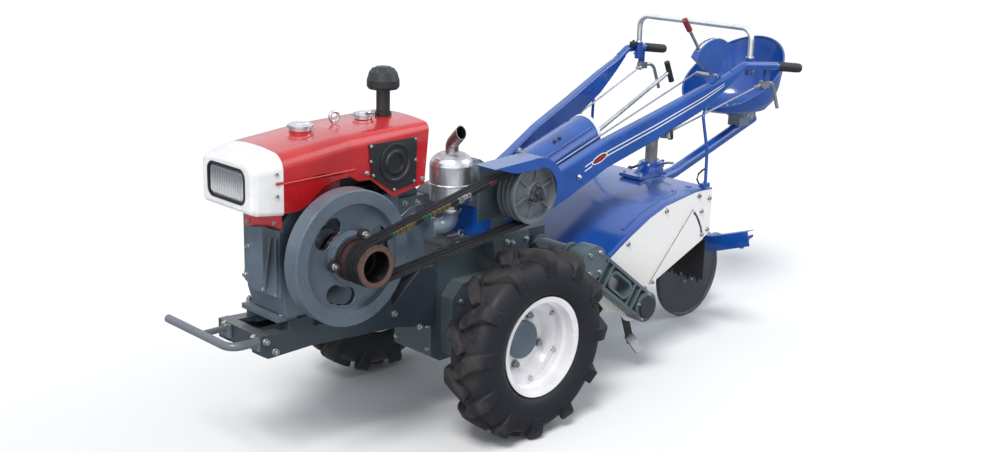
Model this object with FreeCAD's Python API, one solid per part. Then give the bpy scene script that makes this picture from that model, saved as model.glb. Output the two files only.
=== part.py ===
import FreeCAD, Part
import math
import os

# Two-wheel power tiller with a side-driven rotary tiller, a seat and a tail wheel.
# Sizes are in mm. X points forward, Y to the machine's left, Z up.
# In this source x = 0 is the drive axle; save() moves every piece by MID_X,
# so that the finished part stands with its origin under the middle of its length.

# Driving dimensions
FRONT_X = 943.0             # foremost point, the lifting bar
REAR_X = -1799.03           # rearmost point, the back of the seat
MID_X = (FRONT_X + REAR_X) / 2
SEAT_GAP = 0.3              # gap between pieces that rest on each other
RUN_FIT = 0.08              # radial play of a shaft in its housing
CLEAR = 6.0                 # least gap between a moving piece and a fixed one

TYRE_R = 320.0              # outside radius over the lugs
AXLE_Z = TYRE_R             # the tyres stand on the ground
TRACK_Y = 403.0             # centre plane of each drive wheel
TYRE_HALF_W = 82.0
CARCASS_R = 298.0           # tread radius between the lugs
LUG_COUNT = 12              # lugs on each side of one tyre
BEAD_R = 153.0
RIM_FLANGE_R = 168.0
RIM_HALF_W = 70.0
RIM_SHEET = 4.0
DISC_Y = TRACK_Y - 31       # outer face of the wheel disc
HUB_COVER_R = 64.0
HUB_BOLT_R = 84.0
AXLE_R = 22.0
HOUSING_END_Y = DISC_Y - 42

RAIL_HALF_W = 112.0         # outside of the frame rails
RAIL_T = 10.0
RAIL_FRONT_X = FRONT_X - 106
ENGINE_SEAT_Z = 480.0       # underside of the engine's feet
ENGINE_HALF_R = -110.0      # right face of the crankcase
ENGINE_HALF_L = 138.0       # left face of the crankcase
ENGINE_FRONT_X = 768.0
ENGINE_STEP_X = 712.0       # ahead of this the crankcase is narrower on its right
ENGINE_STEP_Y = -46.0
CRANK_X = 630.0
CRANK_Z = 696.0
FLY_R = 205.0
FLY_FACE_Y = 295.0
FLY_W = 60.0

HOOD_HALF_W = 150.0
HOOD_T = 4.0
TANK_Z = 822.0              # underside of the fuel tank, on top of the crankcase
TANK_FRONT_X = 771.0
SEAM_X = 532.0              # seam between the fuel tank and the rear hood
HOOD_REAR_X = 212.0
LAMP_HALF_W = 98.0
LAMP_Z0 = 850.0
LAMP_Z1 = 957.0
LAMP_CORNER_R = 28.0

BELT_Y = (343.5, 362.5, 381.5)
PULLEY_Y0 = 328.0
PULLEY_Y1 = 400.0
ENGINE_PULLEY_R = 64.0
CLUTCH_PULLEY_R = 101.0
GROOVE_DEPTH = 13.0
CLUTCH_X = -15.0
CLUTCH_Z = 815.0
GUARD_R = 118.0

MUFFLER_X = 134.0
MUFFLER_Y = 167.0
MUFFLER_R = 71.5
ELBOW_Z = 685.0

TUBE_R = 15.0               # round ends of the handlebars
HOOP_R = 11.0
HOOP_X = -1311.0
HOOP_Y = 276.5
PIVOT_X = -1378.0           # pivot of the steering levers under the grips
PIVOT_Y = 301.0
PIVOT_Z = 1025.0
QUADRANT_X = -1109.0        # centre of the clutch lever's quadrant
QUADRANT_Z = 1076.0
QUADRANT_R = 140.0
CLUTCH_LEVER_Y = 250.0
CLUTCH_LEVER_TURN = 49.6    # degrees above the forward direction

ROTOR_X = -650.0
ROTOR_Z = 287.0
TINE_R = 226.0
DRIVE_X = -345.0            # cross tube that carries the tiller
DRIVE_Z = 515.0
COVER_HALF_W = 300.0
CASE_Y0 = 312.0
CASE_Y1 = 376.0
CASE_HALF_W = 52.0

POST_X = -1088.0            # upright tube that the tail wheel steers about
POST_R = 24.0
COVER_REAR_X = -1096.0
TAIL_X = -1375.0
TAIL_R = 195.0

SEAT_X = -1575.0
SEAT_Z = 862.0              # underside of the pan
SEAT_SHEET = 3.0


def vec(x, y, z):
    return FreeCAD.Vector(x, y, z)


def save(name, shape):
    # one STEP file for each node
    shape = shape.copy()
    shape.translate(vec(-MID_X, 0, 0))
    shape.exportStep("parts/" + name + ".step")
    print(name, round(shape.Volume / 1e6, 3), "litres", len(shape.Solids), "solids")


def box(x0, x1, y0, y1, z0, z1):
    return Part.makeBox(x1 - x0, y1 - y0, z1 - z0, vec(x0, y0, z0))


def rod(start, end, r):
    # a straight round bar between two points
    line = end - start
    return Part.makeCylinder(r, line.Length, start, line)


def disc_y(x, z, r, y0, y1):
    return Part.makeCylinder(r, y1 - y0, vec(x, y0, z), vec(0, 1, 0))


def face_of(points):
    return Part.Face(Part.makePolygon(list(points) + [points[0]]))


def plate_y(outline, y0, y1):
    # an (x, z) outline thickened from y0 to y1
    return face_of([vec(x, y0, z) for x, z in outline]).extrude(vec(0, y1 - y0, 0))


def rounded_x(x, half, z_low, z_high, r):
    # an upright rectangle across the machine with four round corners
    k = r * (1 - math.sqrt(0.5))
    edges = []
    for s, z_a, z_b in ((1, z_low, z_high), (-1, z_high, z_low)):
        up = s
        h = s * half
        edges.append(Part.makeLine(vec(x, -h + s * r, z_a), vec(x, h - s * r, z_a)))
        edges.append(Part.Arc(vec(x, h - s * r, z_a), vec(x, h - s * k, z_a + up * k),
                              vec(x, h, z_a + up * r)).toShape())
        edges.append(Part.makeLine(vec(x, h, z_a + up * r), vec(x, h, z_b - up * r)))
        edges.append(Part.Arc(vec(x, h, z_b - up * r), vec(x, h - s * k, z_b - up * k),
                              vec(x, h - s * r, z_b)).toShape())
    return Part.Wire(edges)


def plate_x(outline, x0, x1):
    return face_of([vec(x0, y, z) for y, z in outline]).extrude(vec(x1 - x0, 0, 0))


def turned_y(profile, x, z):
    # an (r, y) profile turned about the cross axis through (x, z)
    face = face_of([vec(x + r, y, z) for r, y in profile])
    return face.revolve(vec(x, 0, z), vec(0, 1, 0), 360)


def turned_z(profile, x, y):
    face = face_of([vec(x + r, y, z) for r, z in profile])
    return face.revolve(vec(x, y, 0), vec(0, 0, 1), 360)


def join(shapes):
    first = shapes[0]
    if len(shapes) == 1:
        return first
    return first.multiFuse(shapes[1:]).removeSplitter()


def mirrored(shape):
    return shape.mirror(vec(0, 0, 0), vec(0, 1, 0))


def polar(x, z, r, degrees):
    turn = math.radians(degrees)
    return x + r * math.cos(turn), z + r * math.sin(turn)


def bent_path(points, bend_r):
    # straight runs joined by arcs of one radius
    edges = []
    start = points[0]
    for before, corner, after in zip(points, points[1:], points[2:]):
        a = (before - corner).normalize()
        b = (after - corner).normalize()
        half = a.getAngle(b) / 2
        reach = bend_r / math.tan(half)
        p = corner + a * reach
        q = corner + b * reach
        middle = (a + b).normalize()
        centre = corner + middle * (bend_r / math.sin(half))
        edges.append(Part.makeLine(start, p))
        edges.append(Part.Arc(p, centre - middle * bend_r, q).toShape())
        start = q
    edges.append(Part.makeLine(start, points[-1]))
    return Part.Wire(edges)


def bent_bar(points, bend_r, r):
    path = bent_path(points, bend_r)
    ring = Part.Wire(Part.makeCircle(r, points[0], points[1] - points[0]))
    return path.makePipeShell([ring], True, False)


def lofted(sections):
    return Part.makeLoft(sections, True, True)


def rounded_at(x, y, z_low, z_high, width, r):
    wire = rounded_x(x, width / 2, z_low, z_high, r)
    wire.translate(vec(0, y, 0))
    return wire


os.makedirs("parts", exist_ok=True)


# Drive wheels: tyre with chevron lugs, deep rim, hub with its axle
def faceted(section, sides):
    # a ring of flat facets round the axle; inner radii grow so that the flats clear the rim
    swell = 1 / math.cos(math.pi / sides)
    rings = []
    for r, y in section:
        radius = r * swell if r < RIM_FLANGE_R else r
        angles = [2 * math.pi * n / sides for n in range(sides)]
        rings.append([vec(radius * math.sin(a), TRACK_Y + y, AXLE_Z + radius * math.cos(a))
                      for a in angles])
    faces = []
    for first, second in zip(rings, rings[1:] + rings[:1]):
        for n in range(sides):
            m = (n + 1) % sides
            faces.append(face_of([first[n], first[m], second[m], second[n]]))
    return Part.Solid(Part.Shell(faces))


def tyre():
    # outer profile then inner profile, as (radius, offset from the centre plane)
    half = TYRE_HALF_W
    # radii up the side wall, as shares of the way from the bead to the tread
    mid, high = (BEAD_R + share * (CARCASS_R - BEAD_R) for share in (0.45, 0.75))
    side = [(high, half - 6), (mid, half), (RIM_FLANGE_R + 3, RIM_HALF_W - 10),
            (BEAD_R, RIM_HALF_W - 8), (BEAD_R, RIM_HALF_W - 24), (CARCASS_R - 24, 58)]
    section = [(CARCASS_R - 12, -60), (CARCASS_R, -32), (CARCASS_R, 32), (CARCASS_R - 12, 60)]
    section += side + [(r, -y) for r, y in reversed(side)]
    carcass = faceted(section, 3 * LUG_COUNT)
    # one lug: a slanted bar from the shoulder to just past the middle, in the tangent plane
    lug_outline = [(-46, 81), (2, 81), (52, 4), (52, -14), (24, -14), (-14, 26)]
    foot = AXLE_Z + high - 12
    crown = AXLE_Z + math.sqrt(TYRE_R ** 2 - 52 ** 2)
    lugs = []
    step = 360.0 / LUG_COUNT
    for side in (1, -1):
        outline = [vec(x, TRACK_Y + side * y, foot) for x, y in lug_outline]
        bar = face_of(outline).extrude(vec(0, 0, crown - foot))
        chamfer = plate_x([(TRACK_Y + side * 60, crown + 1), (TRACK_Y + side * 82, crown - 26),
                           (TRACK_Y + side * 82, crown + 1)], -60, 60)
        bar = bar.cut(chamfer)
        for n in range(LUG_COUNT):
            lug = bar.copy()
            lug.rotate(vec(0, 0, AXLE_Z), vec(0, 1, 0), step * (n + (0.5 if side < 0 else 0)))
            lugs.append(lug)
    return carcass.multiFuse(lugs)


def rim():
    t = RIM_SHEET
    out = TRACK_Y + RIM_HALF_W
    inn = TRACK_Y - RIM_HALF_W
    flange = RIM_FLANGE_R
    seat = BEAD_R - SEAT_GAP
    # barrel, from the outer flange to the inner one
    barrel = turned_y([(flange, out), (flange, out - t), (seat + 4, out - 5), (seat, out - 7.6),
                       (seat, out - 34), (seat - 10, out - 44), (seat - 10, inn + 44),
                       (seat, inn + 34), (seat, inn + 7.6), (seat + 4, inn + 5), (flange, inn + t),
                       (flange, inn), (seat - t, inn + 6), (seat - t, inn + 36),
                       (seat - 10 - t, inn + 46), (seat - 10 - t, out - 46),
                       (seat - t, out - 36), (seat - t, out - 6)], 0, AXLE_Z)
    # pressed disc: bolted ring outside, dished centre inside
    disc = turned_y([(seat - 12, DISC_Y + 34), (116, DISC_Y + 30), (104, DISC_Y + 8),
                     (98, DISC_Y), (HUB_COVER_R + 0.4, DISC_Y), (HUB_COVER_R + 0.4, DISC_Y - 6),
                     (101, DISC_Y - 6), (109, DISC_Y + 4), (120, DISC_Y + 24),
                     (seat - 12, DISC_Y + 28)], 0, AXLE_Z)
    return join([barrel, disc])


def hub():
    shaft = disc_y(0, AXLE_Z, AXLE_R, HOUSING_END_Y - 80, DISC_Y - 20)
    flange = turned_y([(0, DISC_Y - 24), (44, DISC_Y - 24), (44, DISC_Y - 20),
                       (100, DISC_Y - 20), (100, DISC_Y - 6.3), (HUB_COVER_R, DISC_Y - 6.3),
                       (HUB_COVER_R, DISC_Y + 11), (58, DISC_Y + 15), (0, DISC_Y + 15)],
                      0, AXLE_Z)
    # four hub studs with nuts, standing off the dished centre
    nuts = []
    for n in range(4):
        x, z = polar(0, AXLE_Z, HUB_BOLT_R, 20 + 90 * n)
        nuts.append(disc_y(x, z, 6, DISC_Y + 0.3 - 12, DISC_Y + 16))
        nuts.append(disc_y(x, z, 11, DISC_Y + 0.3, DISC_Y + 11))
    return join([shaft, flange]), nuts


left_tyre = tyre()
left_rim = rim()
left_hub, hub_nuts = hub()
stud_holes = []
for n in range(4):
    x, z = polar(0, AXLE_Z, HUB_BOLT_R, 20 + 90 * n)
    stud_holes.append(disc_y(x, z, 6.3, DISC_Y - 8, DISC_Y + 2))
left_rim = left_rim.cut(Part.makeCompound(stud_holes))
left_hub = join([left_hub] + hub_nuts)
save("left_tyre", left_tyre)
save("left_rim", left_rim)
save("left_hub", left_hub)
save("right_tyre", mirrored(left_tyre))
save("right_rim", mirrored(left_rim))
save("right_hub", mirrored(left_hub))


# Transmission: main case, bell that carries the clutch pulley, axle housings
def gearbox():
    main = plate_y([(150, 215), (150, 556), (118, 588), (60, 600), (60, 742), (30, 762),
                    (-140, 790), (-190, 800), (-255, 700), (-255, 230), (-215, 190),
                    (110, 190)], -95, 95)
    turret = plate_y([(60, 720), (50, 846), (30, 866), (-60, 866), (-100, 840), (-120, 770)],
                     22, 95)
    # flange between the front cover and the case, and a foot below the case
    flange = plate_y([(150, 560), (150, 540), (60, 584), (-255, 584), (-255, 600), (60, 612)],
                     -103, 103)
    final = plate_y([(96, 215), (104, 300), (104, 420), (60, 470), (-110, 470), (-150, 400),
                     (-150, 240), (-110, 200), (70, 200)], -150, 150)
    bell = turned_y([(0, 90), (58, 90), (58, 112), (50, 120), (46, 280), (0, 280)],
                    CLUTCH_X, CLUTCH_Z)
    backplate = disc_y(CLUTCH_X, CLUTCH_Z, CLUTCH_PULLEY_R + 3, 283, 291)
    backplate = backplate.fuse(box(CLUTCH_X, 128, 283, 291, 722, 906))
    collar = disc_y(CLUTCH_X, CLUTCH_Z, 40, 270, 300)
    rear = box(DRIVE_X - 60, -250, -78, 78, DRIVE_Z - 62, DRIVE_Z + 62)
    # bracket plates above the axle, with the ribs that carry them
    bracket = [(-75, 600), (-88, 530), (-136, 500), (-250, 520), (-250, 606)]
    shapes = [main, turret, flange, final, bell, backplate, collar, rear]
    for s in (1, -1):
        shapes.append(plate_y(bracket, min(s * 138, s * 150), max(s * 138, s * 150)))
        for x in (-100, -200):
            shapes.append(box(x - 8, x + 8, min(s * 90, s * 140), max(s * 90, s * 140), 530, 590))
    case = join(shapes)
    cuts = [disc_y(0, AXLE_Z, 46, -160, 160),
            disc_y(CLUTCH_X, CLUTCH_Z, 18 + RUN_FIT, 220, 310),
            disc_y(DRIVE_X, DRIVE_Z, 36.3, -100, 100)]
    keep = [disc_y(0, AXLE_Z, 60, -160, 160), disc_y(CLUTCH_X, CLUTCH_Z, 50, 60, 120)]
    # the room for the gears, which are left out
    room = plate_y([(138, 250), (138, 550), (112, 576), (48, 588), (48, 730), (26, 750),
                    (-140, 778), (-184, 786), (-243, 696), (-243, 250), (-220, 215),
                    (100, 215)], -84, 84)
    sump = plate_y([(84, 245), (90, 296), (90, 416), (54, 458), (-104, 458), (-136, 398),
                    (-136, 246), (-104, 214), (64, 214)], -136, 136)
    return case.cut(room.fuse(sump).cut(Part.makeCompound(keep))).cut(Part.makeCompound(cuts))


def axle_housing():
    end = HOUSING_END_Y
    body = turned_y([(AXLE_R + RUN_FIT, 100), (45.7, 100), (45.7, 150.3), (72, 150.3),
                     (72, 166), (56, 172), (44, end - 80), (44, end - 30), (54, end - 24),
                     (54, HOUSING_END_Y), (AXLE_R + RUN_FIT, HOUSING_END_Y)], 0, AXLE_Z)
    return body


left_housing = axle_housing()
save("gearbox", gearbox())
save("axle_housings", Part.makeCompound([left_housing, mirrored(left_housing)]))


# Frame: two deep rails with a front bay, pads under the engine and a rear plate
def chassis_frame():
    front = RAIL_FRONT_X
    side = [(front, 452), (front, 392), (front - 27, 376), (front - 185, 381), (323, 362),
            (150.3, 330), (150.3, 540), (215, 540), (330, 440), (583, 440)]
    bay = [(front - 37, 440), (front - 37, 404), (front - 185, 404), (323, 388), (190, 366),
           (190, 500), (215, 500), (320, 420), (583, 424)]
    shapes = []
    for s in (1, -1):
        outer = s * RAIL_HALF_W
        inner = s * (RAIL_HALF_W - RAIL_T)
        shapes.append(plate_y(side, min(outer, inner), max(outer, inner)))
        lip = s * (RAIL_HALF_W - 45)
        rail = plate_y(side, min(outer, lip), max(outer, lip))
        shapes.append(rail.cut(plate_y(bay, -200, 200)))
    shapes.append(box(front - 37, front, -RAIL_HALF_W, RAIL_HALF_W, 400, 452)
                  .cut(box(front - 47, front - 9, -100, 100, 390, 443)))
    shapes.append(box(600, 640, -RAIL_HALF_W, RAIL_HALF_W, 396, 424))
    shapes.append(box(150.3, 166, -RAIL_HALF_W, RAIL_HALF_W, 330, 540))
    for x in (690, 380):
        for s in (1, -1):
            y = s * (RAIL_HALF_W - 26)
            shapes.append(box(x - 45, x + 45, y - 26, y + 26, 430, ENGINE_SEAT_Z))
    return join(shapes)


def lifting_bar():
    r = 13.0
    bar = bent_bar([vec(RAIL_FRONT_X, 100, 434), vec(FRONT_X - r, 100, 434),
                    vec(FRONT_X - r, -250, 434)], 42, r)
    brace = rod(vec(RAIL_FRONT_X, -62, 434), vec(FRONT_X - r, -62, 434), 10)
    foot = box(RAIL_FRONT_X + SEAT_GAP, RAIL_FRONT_X + 8, 76, 111.7, 408, 450)
    foot2 = box(RAIL_FRONT_X + SEAT_GAP, RAIL_FRONT_X + 8, -86, -38, 408, 450)
    solid = join([bar, brace, foot, foot2])
    return solid.cut(box(RAIL_FRONT_X - 60, RAIL_FRONT_X + SEAT_GAP, -300, 300, 380, 470))


save("chassis_frame", chassis_frame())
save("lifting_bar", lifting_bar())


# Engine: crankcase on two feet, gear case on its right, cylinder head behind
def crankcase():
    top = TANK_Z - SEAT_GAP
    front = ENGINE_FRONT_X
    wide = plate_y([(ENGINE_STEP_X, 500), (ENGINE_STEP_X, top), (330.3, top), (330.3, 540),
                    (380, 500)], ENGINE_HALF_R, ENGINE_HALF_L)
    narrow = plate_x([(ENGINE_STEP_Y, 500), (ENGINE_STEP_Y - 8, 590), (ENGINE_STEP_Y + 22, top),
                      (ENGINE_HALF_L, top), (ENGINE_HALF_L, 500)], ENGINE_STEP_X - 20, front)
    narrow = narrow.cut(plate_y([(front - 26, top + 1), (front + 1, top + 1), (front + 1, 793)],
                                -200, 200))
    narrow = narrow.cut(plate_y([(front - 14, 499), (front + 1, 499), (front + 1, 562)], -200, 200))
    feet = [box(345, ENGINE_STEP_X, -104, 104, ENGINE_SEAT_Z + SEAT_GAP, 504),
            box(ENGINE_STEP_X - 10, front + 6, -78, 110, ENGINE_SEAT_Z + SEAT_GAP, 496)]
    # front plate with the two raised ribs that narrow upwards
    door = plate_x([(-54, 587), (-22, 752), (60, 768), (138, 768), (138, 566), (-10, 558)],
                   front - 4, front + 12)
    ribs = [plate_x([(62, 580), (70, 580), (104, 744), (96, 744)], front + 8, front + 20),
            plate_x([(122, 576), (130, 576), (130, 748), (122, 748)], front + 8, front + 20)]
    nose = turned_y([(0, 120), (92, 120), (92, 150), (60, 158), (60, 205), (0, 205)],
                    CRANK_X, CRANK_Z)
    bore = disc_y(CRANK_X, CRANK_Z, 30 + RUN_FIT, 60, 230)
    room = plate_y([(ENGINE_STEP_X - 12, 516), (ENGINE_STEP_X - 12, 810), (342, 810), (342, 548),
                    (386, 516)], ENGINE_HALF_R + 10, ENGINE_HALF_L - 10)
    room2 = plate_y([(front - 12, 566), (front - 12, 790), (front - 34, 810),
                     (ENGINE_STEP_X - 20, 810), (ENGINE_STEP_X - 20, 516), (front - 26, 516)],
                    ENGINE_STEP_Y + 32, ENGINE_HALF_L - 10)
    block = join([wide, narrow]).cut(room.fuse(room2))
    return join([block, door, nose] + feet + ribs).cut(bore)


def gear_case():
    y1 = ENGINE_HALF_R - SEAT_GAP
    outline = [(712, 540), (712, 770), (668, 818), (470, 818), (400, 760), (400, 600),
               (460, 520), (670, 512)]
    room = [(700, 550), (700, 764), (662, 806), (476, 806), (412, 754), (412, 606), (466, 532),
            (664, 524)]
    cover = plate_y(outline, y1 - 42, y1).cut(plate_y(room, y1 - 34, y1))
    bosses = [disc_y(CRANK_X, CRANK_Z, 54, y1 - 58, y1 - 40),
              disc_y(505, 650, 34, y1 - 78, y1 - 40), disc_y(655, 590, 30, y1 - 52, y1 - 40)]
    return join([cover] + bosses)


def cylinder_head():
    body = box(205, 330, -100, 118, 560, 792)
    ports = box(196, 206, 90, 152, ELBOW_Z - 32, ELBOW_Z + 32)
    # rocker cover with a rounded top
    cover = plate_y([(222, 780), (222, 806), (238, 826), (302, 826), (318, 806), (318, 780)],
                    -86, 100)
    room = box(217, 318, -88, 106, 572, 780)
    return join([body, cover, ports]).cut(room)


save("crankcase", crankcase())
save("gear_case", gear_case())
save("cylinder_head", cylinder_head())


# Flywheel with kidney holes, and the three-groove pulley bolted to it
def groove_cuts(x, z, r):
    shapes = []
    for y in BELT_Y:
        shapes.append(turned_y([(r - GROOVE_DEPTH, y - 5.2), (r + 1, y - 8.4), (r + 1, y + 8.4),
                                (r - GROOVE_DEPTH, y + 5.2)], x, z))
    return Part.makeCompound(shapes)


def flywheel():
    f = FLY_FACE_Y
    b = f - FLY_W
    wheel = turned_y([(0, b), (70, b), (70, b + 24), (152, b + 24), (158, b), (FLY_R - 3, b),
                      (FLY_R, b + 3), (FLY_R, f - 3), (FLY_R - 3, f), (164, f), (157, f - 20),
                      (80, f - 20), (74, f - 4), (0, f - 4)], CRANK_X, CRANK_Z)
    holes = []
    for n in range(3):
        for turn in (-12, 0, 12):
            x, z = polar(CRANK_X, CRANK_Z, 117, 47 + 120 * n + turn)
            holes.append(disc_y(x, z, 29, b - 5, f + 5))
    shaft = disc_y(CRANK_X, CRANK_Z, 30, 80, b + 4)
    return join([wheel.cut(holes[0].multiFuse(holes[1:])), shaft])


def engine_pulley():
    y0 = FLY_FACE_Y - 4 + SEAT_GAP
    body = turned_y([(40, y0), (54, y0), (54, PULLEY_Y0), (ENGINE_PULLEY_R, PULLEY_Y0),
                     (ENGINE_PULLEY_R, PULLEY_Y1), (40, PULLEY_Y1)], CRANK_X, CRANK_Z)
    body = body.cut(groove_cuts(CRANK_X, CRANK_Z, ENGINE_PULLEY_R))
    flange = disc_y(CRANK_X, CRANK_Z, 66, y0, y0 + 14)
    lobes = []
    for n in range(3):
        x, z = polar(CRANK_X, CRANK_Z, 76, 115 + 120 * n)
        lobes.append(disc_y(x, z, 19, y0, y0 + 14))
    flange = join([flange] + lobes).cut(disc_y(CRANK_X, CRANK_Z, 40, y0 - 1, y0 + 20))
    mouth = disc_y(CRANK_X, CRANK_Z, ENGINE_PULLEY_R - GROOVE_DEPTH - 4, PULLEY_Y0 + 8, PULLEY_Y1 + 1)
    return join([flange, body]).cut(mouth)


def clutch_pulley():
    r = CLUTCH_PULLEY_R
    y0, y1 = PULLEY_Y0, PULLEY_Y1
    # dished face with a hub, radial ribs inside the dish
    body = turned_y([(18, y0), (r, y0), (r, y1), (r - 10, y1), (r - 16, y1 - 16), (40, y1 - 12),
                     (36, y1 + 4), (18, y1 + 4)], CLUTCH_X, CLUTCH_Z)
    room = turned_y([(44, y0 - 1), (r - 24, y0 - 1), (r - 24, y1 - 28), (44, y1 - 24)],
                    CLUTCH_X, CLUTCH_Z)
    body = body.cut(groove_cuts(CLUTCH_X, CLUTCH_Z, r)).cut(room)
    ribs = []
    for n in range(6):
        one = box(CLUTCH_X + 34, CLUTCH_X + r - 12, y1 - 18, y1 - 7, CLUTCH_Z - 3, CLUTCH_Z + 3)
        one.rotate(vec(CLUTCH_X, 0, CLUTCH_Z), vec(0, 1, 0), 20 + 60 * n)
        ribs.append(one)
    shaft = disc_y(CLUTCH_X, CLUTCH_Z, 18, 225, y1 + 10)
    return join([body, shaft] + ribs)


def belt(y):
    # a closed V-belt: the trapezium swept round both pulleys and their two tangents
    depth = GROOVE_DEPTH - 1.5
    r1 = ENGINE_PULLEY_R + 1 - depth
    r2 = CLUTCH_PULLEY_R + 1 - depth
    run = math.hypot(CRANK_X - CLUTCH_X, CRANK_Z - CLUTCH_Z)
    heading = math.degrees(math.atan2(CRANK_Z - CLUTCH_Z, CRANK_X - CLUTCH_X))
    tilt = math.degrees(math.asin((r2 - r1) / run))
    up = heading + 90 - tilt
    down = heading - 90 + tilt

    def at(x, z, r, degrees):
        px, pz = polar(x, z, r, degrees)
        return vec(px, y, pz)

    a = at(CLUTCH_X, CLUTCH_Z, r2, up)
    b = at(CRANK_X, CRANK_Z, r1, up)
    c = at(CRANK_X, CRANK_Z, r1, down)
    d = at(CLUTCH_X, CLUTCH_Z, r2, down)
    path = Part.Wire([
        Part.makeLine(a, b),
        Part.Arc(b, at(CRANK_X, CRANK_Z, r1, heading), c).toShape(),
        Part.makeLine(c, d),
        Part.Arc(d, at(CLUTCH_X, CLUTCH_Z, r2, heading + 180), a).toShape()])
    out = (a - vec(CLUTCH_X, y, CLUTCH_Z)).normalize()
    side = vec(0, 1, 0)
    section = Part.makePolygon([a - side * 5.3, a + side * 5.3, a + side * 8 + out * depth,
                                a - side * 8 + out * depth, a - side * 5.3])
    return path.makePipeShell([section], True, True)


save("flywheel", flywheel())
save("engine_pulley", engine_pulley())
save("clutch_pulley", clutch_pulley())
save("drive_belts", Part.makeCompound([belt(y) for y in BELT_Y]))


# Hood: fuel tank in front, rear cowl over the radiator, fan cover and grille
def cowl_wire(x, half, low, top, shoulder_r, foot_r, inset=0.0):
    # flat sides, round feet, shoulders that turn 82 degrees and a low crown tangent to them
    h = half - inset
    z0 = low + inset
    z1 = top - inset
    r = shoulder_r - inset
    f = max(foot_r - inset, 1.0)
    turn = math.radians(82)
    ease = math.tan((math.pi / 2 - turn) / 2)
    side = z1 - h * ease - r * (math.sin(turn) - (1 - math.cos(turn)) * ease)
    k = f * (1 - math.sqrt(0.5))

    def on_shoulder(s, angle):
        return vec(x, s * (h - r + r * math.cos(angle)), side + r * math.sin(angle))

    edges = [Part.makeLine(vec(x, -h + f, z0), vec(x, h - f, z0)),
             Part.Arc(vec(x, h - f, z0), vec(x, h - k, z0 + k), vec(x, h, z0 + f)).toShape(),
             Part.makeLine(vec(x, h, z0 + f), vec(x, h, side)),
             Part.Arc(vec(x, h, side), on_shoulder(1, turn / 2), on_shoulder(1, turn)).toShape(),
             Part.Arc(on_shoulder(1, turn), vec(x, 0, z1), on_shoulder(-1, turn)).toShape(),
             Part.Arc(on_shoulder(-1, turn), on_shoulder(-1, turn / 2), vec(x, -h, side)).toShape(),
             Part.makeLine(vec(x, -h, side), vec(x, -h, z0 + f)),
             Part.Arc(vec(x, -h, z0 + f), vec(x, -h + k, z0 + k), vec(x, -h + f, z0)).toShape()]
    return Part.Wire(edges)


# columns: x, half width, top z, shoulder radius
HOOD = ((TANK_FRONT_X, HOOD_HALF_W, 1005, 50), (SEAM_X, HOOD_HALF_W, 1031, 46),
        (HOOD_REAR_X, HOOD_HALF_W, 1041, 28))
ARCH_R = FLY_R + 22
ARCH_Y = 100.0


def hood_top(x):
    # height of the hood's ridge above a place along it
    for (x0, _, z0, _), (x1, _, z1, _) in zip(HOOD, HOOD[1:]):
        if x >= x1:
            return z0 + (z1 - z0) * (x0 - x) / (x0 - x1)
    return HOOD[-1][2]


def hood_block(front, rear, inset, low, ends=(0.0, 0.0)):
    sections = []
    for row, shift in ((front, -ends[0]), (rear, ends[1])):
        x, half, top, r = row
        sections.append(cowl_wire(x + shift, half, low, top, r, 2.0 + inset, inset))
    return lofted(sections)


def arch(grow):
    return disc_y(CRANK_X, CRANK_Z, ARCH_R + grow, ARCH_Y - grow, 400)


def fuel_tank():
    outer = hood_block(HOOD[0], HOOD[1], 0, TANK_Z).cut(arch(0))
    inner = hood_block(HOOD[0], HOOD[1], HOOD_T, TANK_Z, (HOOD_T, HOOD_T)).cut(arch(HOOD_T))
    neck = Part.makeCylinder(34, 39, vec(603, 0, 990))
    mouth = Part.makeCylinder(27, 90, vec(603, 0, 970))
    tongue = plate_x([(-24, TANK_Z + 6), (-24, 802), (40, 784), (128, 776), (128, TANK_Z + 6)],
                     ENGINE_FRONT_X + SEAT_GAP, TANK_FRONT_X)
    tank = join([outer.cut(inner), neck, tongue])
    return tank.cut(mouth)


def rear_hood():
    row = (SEAM_X - SEAT_GAP,) + HOOD[1][1:]
    low = 790
    outer = hood_block(row, HOOD[2], 0, low)
    inner = hood_block(row, HOOD[2], HOOD_T, low - 2 * HOOD_T, (-20, 0))
    # the rear face leans forward towards its foot
    lean = plate_y([(180, 780), (240, 780), (HOOD_REAR_X + 1, 1060), (180, 1060)], -200, 200)
    outer = outer.cut(lean)
    lean.translate(vec(HOOD_T + 0.2, 0, 0))
    hood = outer.cut(inner.cut(lean))
    trim = plate_y([(540, 780), (540, 884), (452, 880), (363, 812), (253, 834), (190, 834),
                    (190, 780)], 0, 200)
    trim = trim.fuse(box(190, 540, -200, 1, 780, TANK_Z + 2))
    # the rear face ends above the rocker cover
    trim = trim.fuse(box(190, 325, -112, 1, 780, 834))
    stack = Part.makeCylinder(22 + SEAT_GAP, 60, vec(281, 0, 1000))
    return hood.cut(trim).cut(arch(0)).cut(stack)


def fan_cover():
    outline = [(461, 990), (271, 992), (274, 847), (363, 831), (450, 889)]
    y0 = HOOD_HALF_W + SEAT_GAP
    plate = plate_y(outline, y0, y0 + 5)
    rings = turned_y([(62, y0 + 2), (62, y0 + 9), (54, y0 + 9), (50, y0 + 5), (40, y0 + 5),
                      (36, y0 + 9), (28, y0 + 9), (28, y0 + 2)], 357, 922)
    return join([plate, rings])


def radiator_grille():
    y0 = HOOD_HALF_W + SEAT_GAP
    plate = box(262, 470, -y0 - 4, -y0, 858, 990)
    slots = [box(282 + 16 * n, 290 + 16 * n, -y0 - 8, -y0 + 4, 874, 974) for n in range(11)]
    return plate.cut(Part.makeCompound(slots))


save("fuel_tank", fuel_tank())
save("rear_hood", rear_hood())
save("fan_cover", fan_cover())
save("radiator_grille", radiator_grille())


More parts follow.
